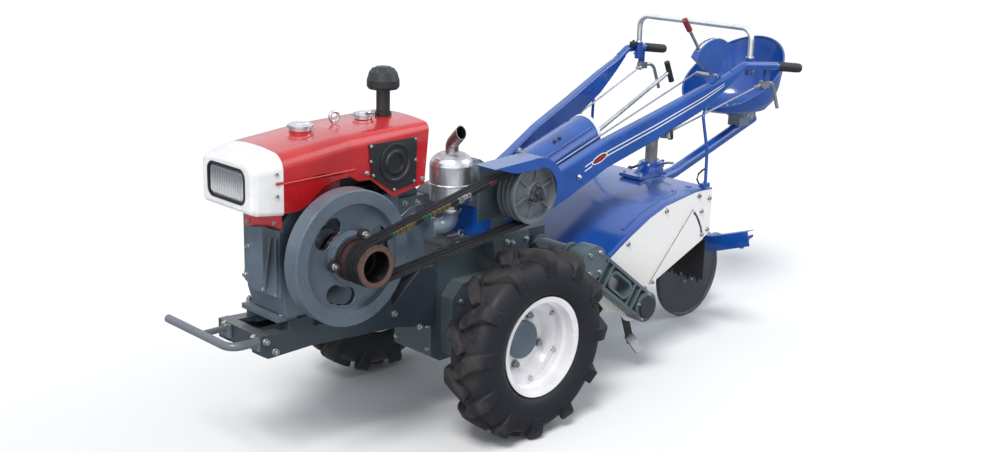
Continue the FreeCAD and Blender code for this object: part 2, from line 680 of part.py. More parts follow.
# Caps, lifting eye and air stack on top of the hood
def cap_on(x, z0, r):
    body = turned_z([(0, z0), (r - 6, z0), (r - 6, z0 + 8), (r, z0 + 10), (r, z0 + 16),
                     (r - 8, z0 + 20), (r - 16, z0 + 17), (0, z0 + 17)], x, 0)
    return body


def lifting_eye():
    z = hood_top(475) + 0.6
    wire = [polar(0, 0, 5.5, 45 * n) for n in range(8)]
    ring = turned_y([(16 + r, y) for r, y in wire], 475, z + 22)
    stem = Part.makeCylinder(8, 10, vec(475, 0, z))
    return join([ring, stem])


def air_stack():
    return turned_z([(14, 1016), (22, 1016), (22, 1124), (46, 1124), (52, 1132), (52, 1152),
                     (44, 1178), (24, 1194), (0, 1197), (0, 1190), (22, 1186), (38, 1170),
                     (40, 1134), (14, 1134)], 281, 0)


fuel_cap = cap_on(603, 1029 + SEAT_GAP, 40)
radiator_cap = cap_on(362, hood_top(362) + 1.2, 34)
save("filler_caps", Part.makeCompound([fuel_cap, radiator_cap]))
save("lifting_eye", lifting_eye())
save("air_stack", air_stack())


# Headlamp fairing with its rounded lamp window, lamp bowl and lens
# columns: x outside, x inside, half width, lower z, upper z, shoulder radius, foot radius
FAIRING = ((TANK_FRONT_X + SEAT_GAP, TANK_FRONT_X - 2, 151, 818, 1006, 50, 12),
           (848, 844, 136, 823, 986, 38, 16), (862, 857, 130, 828, 978, 30, 20),
           (867, 862.5, 121, 837, 969, 22, 14))


def fairing():
    outer = lofted([cowl_wire(x, half, low, top, r, foot)
                    for x, _, half, low, top, r, foot in FAIRING])
    inner = lofted([cowl_wire(x, half, low, top, r, foot, 4.5)
                    for _, x, half, low, top, r, foot in FAIRING])
    window = lofted([lamp_wire(850, 0), lamp_wire(880, 0)])
    return outer.cut(inner).cut(window)


def lamp_wire(x, inset):
    return rounded_x(x, LAMP_HALF_W - inset, LAMP_Z0 + inset, LAMP_Z1 - inset,
                     LAMP_CORNER_R - inset)


def headlamp():
    # a bowl with a black lip that fills the window
    lip = SEAT_GAP + 7
    body = lofted([lamp_wire(820, SEAT_GAP + 16), lamp_wire(846, SEAT_GAP),
                   lamp_wire(869, SEAT_GAP)])
    bowl = lofted([lamp_wire(826, lip + 18), lamp_wire(848, lip), lamp_wire(875, lip)])
    return body.cut(bowl)


def headlamp_lens():
    lip = 2 * SEAT_GAP + 7
    return lofted([lamp_wire(850, lip), lamp_wire(862, lip), lamp_wire(868, lip + 9)])


save("headlamp_fairing", fairing())
save("headlamp", headlamp())
save("headlamp_lens", headlamp_lens())


# Exhaust: elbow from the head, upright silencer with a bent outlet
def exhaust_elbow():
    bend = bent_bar([vec(206, 118, ELBOW_Z), vec(MUFFLER_X, MUFFLER_Y, ELBOW_Z),
                     vec(MUFFLER_X, MUFFLER_Y, 738)], 36, 26)
    flange = box(185, 195.7, 90, 152, ELBOW_Z - 32, ELBOW_Z + 32)
    collar = Part.makeCylinder(33, 10, vec(MUFFLER_X, MUFFLER_Y, 732))
    beyond = box(195.7, 260, 60, 200, ELBOW_Z - 60, ELBOW_Z + 60)
    return join([bend, flange, collar]).cut(beyond)


def muffler():
    r = MUFFLER_R
    z = 742.3
    can = turned_z([(0, z), (22, z), (22, z + 14), (50, z + 18), (r, z + 34), (r, z + 84),
                    (r + 3, z + 87), (r, z + 90), (r, z + 148), (r - 4, z + 160),
                    (r - 12, z + 171), (r - 24, z + 180), (38, z + 185), (0, z + 186)],
                   MUFFLER_X, MUFFLER_Y)
    room = turned_z([(0, z + 24), (46, z + 24), (r - 3, z + 38), (r - 3, z + 147),
                     (r - 15, z + 168), (36, z + 181), (0, z + 182)], MUFFLER_X, MUFFLER_Y)
    # the outlet leans to the left, and its mouth is cut nearly upright
    x, y = MUFFLER_X, MUFFLER_Y
    pipe = bent_bar([vec(x, y, z + 168), vec(x, y, z + 214), vec(x, y + 70, z + 284)], 32, 21)
    hollow = bent_bar([vec(x, y, z + 176), vec(x, y, z + 214), vec(x, y + 78, z + 292)], 32, 18)
    beyond = plate_x([(y + 62, z + 198), (y + 153, z + 198), (y + 153, z + 338), (y + 13, z + 338)],
                     x - 60, x + 60)
    return join([can, pipe]).cut(room).cut(hollow).cut(beyond)


save("exhaust_elbow", exhaust_elbow())
save("muffler", muffler())


# Belt guard over the clutch pulley
def belt_guard():
    def arc(r, start, end, count):
        return [polar(CLUTCH_X, CLUTCH_Z, r, start + (end - start) * n / count)
                for n in range(count + 1)]

    sheet = 3.0
    tip = (178, 921)
    outer = arc(GUARD_R, 78, 187, 9)
    inner = arc(GUARD_R - sheet, 187, 78, 9)
    roof = plate_y([tip] + outer + inner + [(178, 918)], 322, 412)
    # outer strip with its wavy lower edge
    wavy = arc(GUARD_R - 30, 187, 104, 6) + [(-12, 893), (40, 897), (80, 895), (114, 902),
                                             (150, 914)]
    lip = plate_y([tip] + outer + wavy, 409, 412)
    # tongue and foot that hold the guard on the plate behind the pulley
    tongue = plate_y(arc(GUARD_R, 95, 113, 2) + arc(GUARD_R - sheet, 113, 95, 2), 291.3, 326)
    foot = box(-60, -28, 291.3, 295, 860, 926)
    # shield plate under it, between the gearbox's front and the plate behind the pulley
    shield = box(60 + SEAT_GAP, 64, 40, 283 - SEAT_GAP, 640, 742)
    return Part.makeCompound([join([roof, lip, tongue, foot]), shield])


save("belt_guard", belt_guard())


# Handlebars: tapered box arms, round bent ends, grips and the hoop between them
# columns: x, y centre, lower z, upper z, width, corner radius
ARM = ((-196, 117.3, 612, 716, 44, 9), (-290, 117.3, 618, 752, 44, 9),
       (-428, 141, 685, 806, 44, 9), (-600, 173, 777, 882, 42, 9), (-824, 213, 859, 959, 40, 9),
       (-1040, 253, 948, 1038, 36, 11), (-1160, 275, 1022, 1077, 33, 14),
       (-1226, 287, 1070, 1107, 31, 15))
GRIP_START = vec(-1420, 332, 1096)
GRIP_END = vec(-1556, 341, 1079)


def arm():
    t = 3.0
    outer = [rounded_at(x, y, low, high, width, r) for x, y, low, high, width, r in ARM]
    inner = [rounded_at(x, y, low + t, high - t, width - 2 * t, r - t)
             for x, y, low, high, width, r in ARM[:-1]]
    # the hollow stops short of both ends
    inner[0].translate(vec(-4, 0, 0))
    tube_path = [vec(-1196, 281.5, 1080), vec(-1256, 292, 1107), vec(-1404, 331.4, 1098.6),
                 vec(-1440, 333.5, 1093.5)]
    tube = bent_bar(tube_path, 34, TUBE_R)
    sleeve = Part.makeCylinder(HOOP_R + 5, 66, vec(HOOP_X, HOOP_Y, 1064))
    socket = Part.makeCylinder(HOOP_R + SEAT_GAP, 60, vec(HOOP_X, HOOP_Y, 1096))
    lug = box(PIVOT_X - 14, PIVOT_X + 14, 308, 320, 1040, 1097)
    box_part = lofted(outer).cut(lofted(inner))
    return join([box_part, tube, sleeve, lug]).cut(socket)


def grip():
    end = GRIP_END - GRIP_START
    bar = rod(GRIP_START, GRIP_END, 18)
    return bar.cut(rod(GRIP_START - end * 0.1, GRIP_START + end * 0.155, TUBE_R + 2 * SEAT_GAP))


def hoop():
    x, y = HOOP_X, HOOP_Y
    foot, top = 1098.0, 1242.0
    return bent_bar([vec(x, y, foot), vec(x, y, top), vec(x, -y, top), vec(x, -y, foot)],
                    44, HOOP_R)


left_arm = arm()
save("left_arm", left_arm)
save("right_arm", mirrored(left_arm))
left_grip = grip()
save("hand_grips", Part.makeCompound([left_grip, mirrored(left_grip)]))
save("guard_hoop", hoop())


# Shift console between the arms, with its rod, and the clutch lever
def console():
    half = 84.0
    run = 425.0
    slope = 0.342

    def arched(x, w, low, spring, top):
        return Part.Wire([Part.makeLine(vec(x, -w, low), vec(x, w, low)),
                          Part.makeLine(vec(x, w, low), vec(x, w, spring)),
                          Part.Arc(vec(x, w, spring), vec(x, 0, top),
                                   vec(x, -w, spring)).toShape(),
                          Part.makeLine(vec(x, -w, spring), vec(x, -w, low))])

    start = -255 - SEAT_GAP
    solid = Part.Face(arched(start, half, 660, 726, 790)).extrude(vec(-run, 0, run * slope))
    hollow = Part.Face(arched(start - 4, half - 4, 640, 724, 786))
    return solid.cut(hollow.extrude(vec(10 - run, 0, (run - 10) * slope)))


def shift_lever():
    stem = rod(vec(-687, 30, 856), vec(-1130, 30, 1061), 8)
    boot = rod(vec(-681, 30, 853), vec(-700, 30, 862), 17)
    clear = box(-255 - 425 - SEAT_GAP, -600, -100, 100, 700, 1000)
    tee = rod(vec(-1113, 30, 1101), vec(-1150, 30, 1023), 11)
    return join([stem.fuse(boot).cut(clear), tee])


def lever_line(a, b, r):
    # a bar on the clutch lever's own line, between two distances from its pivot
    x0, z0 = polar(QUADRANT_X, QUADRANT_Z, a, CLUTCH_LEVER_TURN)
    x1, z1 = polar(QUADRANT_X, QUADRANT_Z, b, CLUTCH_LEVER_TURN)
    return rod(vec(x0, CLUTCH_LEVER_Y, z0), vec(x1, CLUTCH_LEVER_Y, z1), r)


def clutch_lever():
    boss = disc_y(QUADRANT_X, QUADRANT_Z, 9, CLUTCH_LEVER_Y - 70, CLUTCH_LEVER_Y + 11.7)
    return join([boss, lever_line(6, 246, 6), lever_line(236, 289, 11)])


def lever_quadrant():
    # a fan-shaped side plate with a broad slotted rim, on a foot that fits the arm's top
    y0 = CLUTCH_LEVER_Y - 15
    y1 = CLUTCH_LEVER_Y + 15
    spread = range(35, 126, 10)
    outer = [polar(QUADRANT_X, QUADRANT_Z, QUADRANT_R, a) for a in spread]
    inner = [polar(QUADRANT_X, QUADRANT_Z, QUADRANT_R - 3, a) for a in reversed(spread)]
    side = plate_y(outer + [(QUADRANT_X - 16, QUADRANT_Z), (QUADRANT_X + 16, QUADRANT_Z)],
                   y1 - 3, y1)
    slot_out = [polar(QUADRANT_X, QUADRANT_Z, QUADRANT_R + 9, a) for a in range(46, 121, 8)]
    slot_in = [polar(QUADRANT_X, QUADRANT_Z, QUADRANT_R - 9, a) for a in range(118, 45, -8)]
    slot = plate_y(slot_out + slot_in, CLUTCH_LEVER_Y - 6.5, CLUTCH_LEVER_Y + 6.5)
    rim = plate_y(outer + inner, y0, y1).cut(slot)
    front = [polar(QUADRANT_X, QUADRANT_Z, r, a) for r, a in ((46, 35), (QUADRANT_R, 35),
                                                            (QUADRANT_R, 33.6), (46, 31))]
    wall = plate_y(front, y0, y1)
    foot = plate_y([(-1135, 1070.2), (-1083, 1052.8), (-1090, 1078), (-1125, 1086)],
                   y1 - 3, y1 + 12)
    return join([rim, side, wall, foot])


save("shift_console", console())
save("shift_lever", shift_lever())
save("clutch_lever", clutch_lever())
save("lever_quadrant", lever_quadrant())


# Steering levers under the grips, and the rods that run from the levers to the gearbox
def steering_lever():
    knuckle = box(PIVOT_X - 17, PIVOT_X + 20, 294, 320, PIVOT_Z - 12, 1040 - SEAT_GAP)
    trunnion = rod(vec(PIVOT_X + 10, PIVOT_Y, PIVOT_Z), vec(PIVOT_X + 36, PIVOT_Y - 4, PIVOT_Z - 7), 6)
    hook = bent_bar([vec(PIVOT_X - 8, PIVOT_Y, PIVOT_Z + 4), vec(-1442, PIVOT_Y, PIVOT_Z + 2),
                     vec(-1489, PIVOT_Y, 921)], 44, 7)
    return join([knuckle, trunnion, hook])


def steering_rod():
    # the rod ends on a small bell crank under the arm; its inner run is inside the hollow arm
    crank = plate_y([(-922, 898.5), (-868, 876.5), (-862, 862), (-888, 858)], 218, 228)
    pin = disc_y(-880, 871, 9.5, 206, 240)
    start = vec(PIVOT_X + 38, PIVOT_Y - 4.3, PIVOT_Z - 7.6)
    return join([crank, pin, rod(start, vec(-882, 225, 874), 3.5)])


left_lever = steering_lever()
save("steering_levers", Part.makeCompound([left_lever, mirrored(left_lever)]))
left_rod = steering_rod()
save("steering_rods", Part.makeCompound([left_rod, mirrored(left_rod)]))
save("clutch_rod", rod(vec(-1096, 187.5, 1080), vec(-239.2, 85.4, 726.2), 3.5))


# Tiller: cross tube, chain case on the left, plain arm on the right, rotor between them
def cross_tube():
    y0 = -CASE_Y0 + 12
    y1 = CASE_Y0 - SEAT_GAP
    return disc_y(DRIVE_X, DRIVE_Z, 36, y0, y1).cut(disc_y(DRIVE_X, DRIVE_Z, 28, y0 + 8, y1 - 8))


def slanted_point(along, across=0.0):
    # a place along and across the line from the cross tube to the rotor
    dx = ROTOR_X - DRIVE_X
    dz = ROTOR_Z - DRIVE_Z
    run = math.hypot(dx, dz)
    ux, uz = dx / run, dz / run
    return DRIVE_X + ux * along - uz * across, DRIVE_Z + uz * along + ux * across


def slanted(points, y0, y1):
    return plate_y([slanted_point(along, across) for along, across in points], y0, y1)


def chain_case():
    run = math.hypot(ROTOR_X - DRIVE_X, ROTOR_Z - DRIVE_Z)
    h = CASE_HALF_W
    face = CASE_Y1 - 8
    web = slanted([(0, h - 4), (run, h - 4), (run, 4 - h), (0, 4 - h)], CASE_Y0, CASE_Y1 - 26)
    shapes = [web]
    # edge strips, then the cross ribs beside the window
    for s in (1, -1):
        shapes.append(slanted([(0, s * h), (run, s * h), (run, s * (h - 11)), (0, s * (h - 11))],
                              CASE_Y0, face))
    for along in (72, 112, 268, 306):
        shapes.append(slanted([(along - 4, h - 5), (along + 4, h - 5), (along + 4, 5 - h),
                               (along - 4, 5 - h)], CASE_Y0, face))

    def slot(half, y0, y1):
        ends = [slanted_point(a) for a in (152, 228)]
        discs = [disc_y(x, z, half, y0, y1) for x, z in ends]
        middle = slanted([(152, half), (228, half), (228, -half), (152, -half)], y0, y1)
        return discs[0].multiFuse([discs[1], middle])

    shapes.append(slot(34, CASE_Y0, face))
    shapes.append(disc_y(DRIVE_X, DRIVE_Z, h + 8, CASE_Y0, CASE_Y1))
    shapes.append(disc_y(ROTOR_X, ROTOR_Z, h + 4, CASE_Y0, face))
    shapes.append(disc_y(ROTOR_X, ROTOR_Z, 40, face - 4, CASE_Y1 + 2))
    bearing = disc_y(ROTOR_X, ROTOR_Z, 20 + RUN_FIT, CASE_Y0 - 5, CASE_Y1 - 20)
    return join(shapes).cut(slot(25, CASE_Y0 - 5, CASE_Y1 + 5)).cut(bearing)


def right_arm_plate():
    run = math.hypot(ROTOR_X - DRIVE_X, ROTOR_Z - DRIVE_Z)
    beam = slanted([(0, 40), (run, 34), (run, -34), (0, -40)], -CASE_Y0 - 14, -CASE_Y0)
    top = disc_y(DRIVE_X, DRIVE_Z, 52, -CASE_Y0 - 18, -CASE_Y0 + 12 - SEAT_GAP)
    low = disc_y(ROTOR_X, ROTOR_Z, 44, -CASE_Y0 - 30, -CASE_Y0)
    bearing = disc_y(ROTOR_X, ROTOR_Z, 20 + RUN_FIT, -CASE_Y0 - 24, -CASE_Y0 + 5)
    return join([beam, top, low]).cut(bearing)


def tiller_rotor():
    shaft = disc_y(ROTOR_X, ROTOR_Z, 24, -CASE_Y0 + CLEAR, CASE_Y0 - CLEAR)
    stubs = disc_y(ROTOR_X, ROTOR_Z, 20, -CASE_Y0 - 22, CASE_Y0 + 40)
    # one tine: a blade that runs out and curls sideways at its tip
    shank = box(ROTOR_X - 16, ROTOR_X + 16, -4, 4, ROTOR_Z + 20, ROTOR_Z + TINE_R - 30)
    tip = face_of([vec(ROTOR_X - 22, -4, ROTOR_Z + TINE_R - 62),
                   vec(ROTOR_X - 22, 5, ROTOR_Z + TINE_R - 62),
                   vec(ROTOR_X - 22, 46, ROTOR_Z + TINE_R - 6),
                   vec(ROTOR_X - 22, 38, ROTOR_Z + TINE_R - 4)]).extrude(vec(40, 0, 0))
    tine = join([shank, tip])
    tines = []
    for n in range(9):
        y = -248 + 62 * n
        for half in (0, 1):
            one = tine.copy()
            if half:
                one = mirrored(one)
            one.rotate(vec(ROTOR_X, 0, ROTOR_Z), vec(0, 1, 0), 70 * n + 180 * half)
            one.translate(vec(0, y, 0))
            tines.append(one)
    return join([shaft, stubs] + tines)


save("cross_tube", cross_tube())
save("chain_case", chain_case())
save("rotor_side_arm", right_arm_plate())
save("tiller_rotor", tiller_rotor())


# Tiller cover, its side panels, the rear flaps and the stays up to the arms
COVER_TOP = ((-470, 430), (-500, 476), (-613, 540), (-726, 596), (-820, 628), (-936, 646),
             (-1000, 655), (COVER_REAR_X, 653))
CLAMP_R = 38.0
NOTCH_R = CLAMP_R + SEAT_GAP


def tiller_cover():
    lower = [(x + 1.5, z - 4) for x, z in reversed(COVER_TOP)]
    lower[-1] = (-473, 427)
    sheet = plate_y(list(COVER_TOP) + lower, -COVER_HALF_W, COVER_HALF_W)
    stay = plate_y([(DRIVE_X, DRIVE_Z - 22), (DRIVE_X, DRIVE_Z + 22), (-488, 456), (-474, 430),
                    (-440, 424)], 205, 213)
    stay = stay.cut(disc_y(DRIVE_X, DRIVE_Z, 36 + SEAT_GAP, 190, 230))
    notch = Part.makeCylinder(NOTCH_R, 200, vec(POST_X, 0, 560))
    slot = box(COVER_REAR_X - 40, POST_X, -NOTCH_R, NOTCH_R, 560, 700)
    return join([sheet.cut(notch.fuse(slot)), stay, mirrored(stay)])


def side_panel():
    inner = [(x, z - 4.4) for x, z in COVER_TOP[1:]]
    rim = inner + [(COVER_REAR_X, 476), (-717, 325), (-600, 284), (-551, 271), (-507, 281),
                   (-462, 330), (-456, 366)]
    panel = plate_y(rim, COVER_HALF_W - 4, COVER_HALF_W)
    # triangular plate below, bolted on the outside through a curved slot
    y0 = COVER_HALF_W - 0.5
    wing = plate_y([(-978, 588), (-1052, 470), (-1056, 459), (-747, 336), (-738, 344)],
                   y0, y0 + 4)
    curve = [polar(-790, 470, 250, a) for a in (160, 167, 174, 181)]
    back = [polar(-790, 470, 243, a) for a in (181, 174, 167, 160)]
    hole = disc_y(ROTOR_X, ROTOR_Z, 62, 280, 320)
    return join([panel, wing.cut(plate_y(curve + back, y0 + 0.6, y0 + 5))]).cut(hole)


def rear_flaps():
    x = COVER_REAR_X + 6
    z = 649.0
    shapes = []
    for s in (1, -1):
        y = sorted((s * (NOTCH_R + 4), s * 290))
        shapes.append(box(x, x + 4, y[0], y[1], 305, z))
    return Part.makeCompound(shapes)


def cover_stay():
    # flattened ends and a bent rod from the arm's underside to the cover's rear corner
    bar = bent_bar([vec(-1068, 262, 958), vec(-1040, 275, 930), vec(-1056, 292, 800),
                    vec(-1060, 292, 672)], 20, 6)
    foot = box(-1080, -1040, 278, 299, 658, 674)
    return join([bar, foot]).cut(box(-1100, -1020, 240, 300, 600, 658))


left_panel = side_panel()
save("tiller_cover", tiller_cover())
save("side_panels", Part.makeCompound([left_panel, mirrored(left_panel)]))
save("rear_flaps", rear_flaps())
left_stay = cover_stay()
save("cover_stays", Part.makeCompound([left_stay, mirrored(left_stay)]))


# Tail wheel: clamp, post with its fork and foot bar, wheel
def tail_clamp():
    sleeve = Part.makeCylinder(CLAMP_R, 108, vec(POST_X, 0, 600))
    collar = Part.makeCylinder(47, 14, vec(POST_X, 0, 690))
    base = box(POST_X - 36, POST_X + 128, -52, 52, 655.3, 668)
    gusset = plate_y([(POST_X + 30, 664), (POST_X + 104, 664), (POST_X + 34, 700)], -8, 8)
    ears = [box(POST_X - 62, POST_X - 30, s * 14 - 5, s * 14 + 5, 676, 706) for s in (1, -1)]
    hole = Part.makeCylinder(POST_R + RUN_FIT, 200, vec(POST_X, 0, 590))
    split = box(POST_X - 70, POST_X, -2, 2, 680, 720)
    return join([sleeve, collar, base, gusset] + ears).cut(hole).cut(split)


def tail_post():
    post = Part.makeCylinder(POST_R, 408, vec(POST_X, 0, 400))
    cap = Part.makeCylinder(POST_R + 4, 16, vec(POST_X, 0, 796))
    nut = Part.makeCylinder(13, 12, vec(POST_X, 0, 810))
    arm_bar = rod(vec(POST_X, 0, 420), vec(TAIL_X, 0, 420), 20)
    bridge = box(TAIL_X - 20, TAIL_X + 20, -40, 40, 408, 432)
    legs = [box(TAIL_X - 18, TAIL_X + 18, s * 36 - 4, s * 36 + 4, TAIL_R - 19, 430)
            for s in (1, -1)]
    pin = disc_y(TAIL_X, TAIL_R, 10, -46, 46)
    foot_bar = rod(vec(-1285, -330, 394), vec(-1285, 330, 394), 13)
    # foot plates whose outer ends turn up
    pads = []
    for s in (1, -1):
        outline = [(s * 165, 399), (s * 318, 399), (s * 348, 428), (s * 348, 438), (s * 314, 408),
                   (s * 165, 408)]
        pads.append(plate_x(outline, -1325, -1245))
    link = box(-1304, -1266, -28, 28, 388, 432)
    return join([post, cap, nut, arm_bar, bridge, pin, foot_bar, link] + legs + pads)


def tail_wheel():
    bore = 10 + RUN_FIT
    return turned_y([(bore, -24), (26, -24), (26, -5), (60, -3), (TAIL_R - 12, -3),
                     (TAIL_R - 6, -12), (TAIL_R, -10), (TAIL_R, 10), (TAIL_R - 6, 12),
                     (TAIL_R - 12, 3), (60, 3), (26, 5), (26, 24), (bore, 24)], TAIL_X, TAIL_R)


save("tail_clamp", tail_clamp())
save("tail_fork", tail_post())
save("tail_wheel", tail_wheel())


# Seat on its beam
def seat_beam_line(r):
    return bent_bar([vec(POST_X - 36, 0, 622), vec(-1237, 0, 640), vec(-1762, 0, 808)], 60, r)


def seat_beam():
    return seat_beam_line(24).cut(Part.makeCylinder(38.3, 300, vec(POST_X, 0, 500)))


def seat_bracket():
    # saddle on the beam, cross pivot and the casting under the pan
    block = box(-1700, -1630, -30, 30, 786, SEAT_Z - SEAT_GAP)
    pivot = disc_y(-1650, 840, 18, -44, 44)
    casting = plate_y([(-1700, 850), (-1748, 836), (-1752, 812), (-1720, 800), (-1690, 812)],
                      -26, 26)
    return join([block, pivot, casting]).cut(seat_beam_line(24 + SEAT_GAP))


def seat_pan():
    # a deep pan, turned about its own axis and then cut on a slant from lip to back
    t = SEAT_SHEET
    outer = [(0, 0), (118, 0), (158, 14), (188, 50), (206, 110), (218, 190), (225, 312)]
    inner = [(0, t), (117, t), (155, 14 + t), (188 - t, 52), (206 - t, 111), (218 - t, 190),
             (225 - t, 313)]

    def turned(profile):
        points = [vec(SEAT_X + r, 0, SEAT_Z + z) for r, z in profile]
        points.append(vec(SEAT_X, 0, SEAT_Z + profile[-1][1]))
        return face_of(points).revolve(vec(SEAT_X, 0, 0), vec(0, 0, 1), 360)

    pan = turned(outer).cut(turned(inner))
    above = plate_y([(SEAT_X + 236, SEAT_Z + 26), (SEAT_X + 120, SEAT_Z + 44),
                     (SEAT_X - 110, SEAT_Z + 228), (SEAT_X - 150, SEAT_Z + 279),
                     (SEAT_X - 236, SEAT_Z + 298), (SEAT_X - 236, SEAT_Z + 400),
                     (SEAT_X + 236, SEAT_Z + 400)], -300, 300)
    return pan.cut(above)


save("seat_beam", seat_beam())
save("seat_bracket", seat_bracket())
save("seat_pan", seat_pan())
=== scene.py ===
from math import asin, atan2, cos, hypot, radians, sin, tau
import bmesh
import bpy
from mathutils import Matrix, Vector
from mathutils.bvhtree import BVHTree


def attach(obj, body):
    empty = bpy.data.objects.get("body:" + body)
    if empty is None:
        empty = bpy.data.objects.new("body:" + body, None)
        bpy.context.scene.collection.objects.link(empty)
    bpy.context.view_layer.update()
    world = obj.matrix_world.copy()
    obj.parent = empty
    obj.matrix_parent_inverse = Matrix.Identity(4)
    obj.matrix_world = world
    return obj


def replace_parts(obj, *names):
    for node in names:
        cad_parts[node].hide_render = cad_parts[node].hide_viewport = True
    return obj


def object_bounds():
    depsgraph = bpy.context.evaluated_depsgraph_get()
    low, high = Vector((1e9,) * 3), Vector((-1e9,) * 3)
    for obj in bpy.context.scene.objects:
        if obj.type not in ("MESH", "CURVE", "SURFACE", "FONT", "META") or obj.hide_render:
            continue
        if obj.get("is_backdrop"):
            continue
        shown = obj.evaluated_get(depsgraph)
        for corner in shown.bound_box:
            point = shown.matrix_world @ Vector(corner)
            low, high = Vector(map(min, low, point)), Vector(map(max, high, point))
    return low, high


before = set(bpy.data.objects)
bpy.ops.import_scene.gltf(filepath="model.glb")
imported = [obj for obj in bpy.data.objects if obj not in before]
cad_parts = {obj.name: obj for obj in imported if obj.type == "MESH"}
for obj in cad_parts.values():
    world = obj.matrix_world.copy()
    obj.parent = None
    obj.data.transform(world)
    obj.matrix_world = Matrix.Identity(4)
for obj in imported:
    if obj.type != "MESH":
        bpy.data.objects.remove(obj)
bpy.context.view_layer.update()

# Where it stands: a plain pale floor, a soft key light from the front and above, a weaker
# light from behind, and the camera at the photograph's place. All places in this file are
# in mm: x ahead of the drive axle, y to the machine's left, z above the ground.
AXLE_X = 428.01        # the drive axle, ahead of the middle of the machine's length
CAMERA_PLACE = (2871.4, 3159.8, 1794.7)
CAMERA_YAW, CAMERA_PITCH, CAMERA_ROLL = 45.201, 15.272, 1.627
CAMERA_LENS = 46.46
AHEAD, LEFT, UP = (1, 0, 0), (0, 1, 0), (0, 0, 1)
SIDES = (("left", 1), ("right", -1))


def at(x, y, z):
    return Vector((x + AXLE_X, y, z)) / 1000


def add_node(tree, kind, settings=None, values=None):
    # a socket among the values is linked and anything else is set; gives the node's outputs
    made = tree.nodes.new(kind)
    for key, value in (settings or {}).items():
        setattr(made, key, value)
    for key, value in (values or {}).items():
        if isinstance(value, bpy.types.NodeSocket):
            tree.links.new(value, made.inputs[key])
        else:
            made.inputs[key].default_value = value
    return made.outputs


def in_scene(name, data):
    made = bpy.data.objects.new(name, data)
    bpy.context.scene.collection.objects.link(made)
    return made


def formed(name, points, faces=()):
    mesh = bpy.data.meshes.new(name)
    mesh.from_pydata(points, [], faces)
    return in_scene(name, mesh)


class Socket:
    """An output of a node; arithmetic on it adds the Math nodes."""

    def __init__(self, finish, out):
        self.finish = finish
        self.out = out

    def maths(self, operation, other=0.0):
        return self.finish.node("ShaderNodeMath", {"operation": operation}, {0: self, 1: other})

    def __add__(self, other):
        return self.maths("ADD", other)

    def __sub__(self, other):
        return self.maths("SUBTRACT", other)

    def __rsub__(self, other):
        return self.finish.node("ShaderNodeMath", {"operation": "SUBTRACT"}, {0: other, 1: self})

    def __mul__(self, other):
        return self.maths("MULTIPLY", other)

    def __gt__(self, other):
        return self.maths("GREATER_THAN", other)

    def __lt__(self, other):
        return self.maths("LESS_THAN", other)

    def __abs__(self):
        return self.maths("ABSOLUTE")

    __radd__ = __add__
    __rmul__ = __mul__


class Finish:
    """A material that is being made: its nodes, and the sockets of its main shader."""

    def __init__(self, name):
        self.material = bpy.data.materials.new(name)
        self.material.use_nodes = True
        self.tree = self.material.node_tree
        self.spot = self.node("ShaderNodeTexCoord", out="Object")

    def node(self, kind, settings=None, values=None, out=0):
        values = {key: value.out if isinstance(value, Socket) else value
                  for key, value in (values or {}).items()}
        return Socket(self, add_node(self.tree, kind, settings, values)[out])

    def noise(self, scale, detail=3.0, place=None):
        return self.node("ShaderNodeTexNoise", {}, {"Vector": place or self.spot, "Scale": scale,
                                                    "Detail": detail, "Roughness": 0.6})

    def between(self, value, low, high, out_low=0.0, out_high=1.0):
        return self.node("ShaderNodeMapRange", {"interpolation_type": "SMOOTHSTEP"},
                         {0: value, 1: low, 2: high, 3: out_low, 4: out_high})

    def number(self, share, first, second):
        # a number that goes from the first to the second with the share
        return self.between(share, 0.0, 1.0, first, second)

    def blend(self, share, first, second):
        first, second = (c if isinstance(c, Socket) else (*c, 1.0) for c in (first, second))
        return self.node("ShaderNodeMix", {"data_type": "RGBA"}, {0: share, 6: first, 7: second},
                         out=2)

    def mottled(self, value, low, high, first, second):
        return self.blend(self.between(value, low, high), first, second)

    def axis(self, name):
        return self.node("ShaderNodeSeparateXYZ", {}, {0: self.spot}, out=name)

    def reach(self, x, z):
        # how far a place is from a line across the machine, through x and z in mm
        off_x = self.axis("X") - (x + AXLE_X) / 1000
        off_z = self.axis("Z") - z / 1000
        return (off_x * off_x + off_z * off_z).maths("POWER", 0.5)

    def soft(self, radius):
        # the normal, turned round over the edges
        return self.node("ShaderNodeBevel", {"samples": 6}, {"Radius": radius})

    def edge(self, soft):
        # 0 on flat places, near 0.3 on a square edge
        flat = self.node("ShaderNodeNewGeometry", out="Normal")
        return 1 - self.node("ShaderNodeVectorMath", {"operation": "DOT_PRODUCT"},
                             {0: soft, 1: flat}, out="Value")

    def bump(self, height, depth, under=None):
        values = {"Height": height, "Distance": depth, "Strength": 1.0}
        if under:
            values["Normal"] = under
        return self.node("ShaderNodeBump", {}, values)

    def done(self, **sockets):
        skin = self.tree.nodes["Principled BSDF"]
        for name, value in sockets.items():
            socket = skin.inputs[name.replace("_", " ")]
            if isinstance(value, Socket):
                self.tree.links.new(value.out, socket)
            else:
                socket.default_value = (*value, 1.0) if isinstance(value, tuple) else value
        return self.material


floor = formed("floor", [(-40, -40, 0), (40, -40, 0), (40, 40, 0), (-40, 40, 0)], [(0, 1, 2, 3)])
floor.data.materials.append(Finish("pale_floor").done(
    Base_Color=(0.84, 0.84, 0.85), Roughness=0.9, Specular_IOR_Level=0.1))
floor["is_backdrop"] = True

# polished sides mirror a bright band above the horizon and a soft panel on the near side
floor.visible_glossy = False
world = bpy.data.worlds.new("studio")
bpy.context.scene.world = world
world.use_nodes = True
sky = world.node_tree
backing = sky.nodes["Background"].inputs
backing["Color"].default_value = (0.90, 0.95, 1.0, 1)


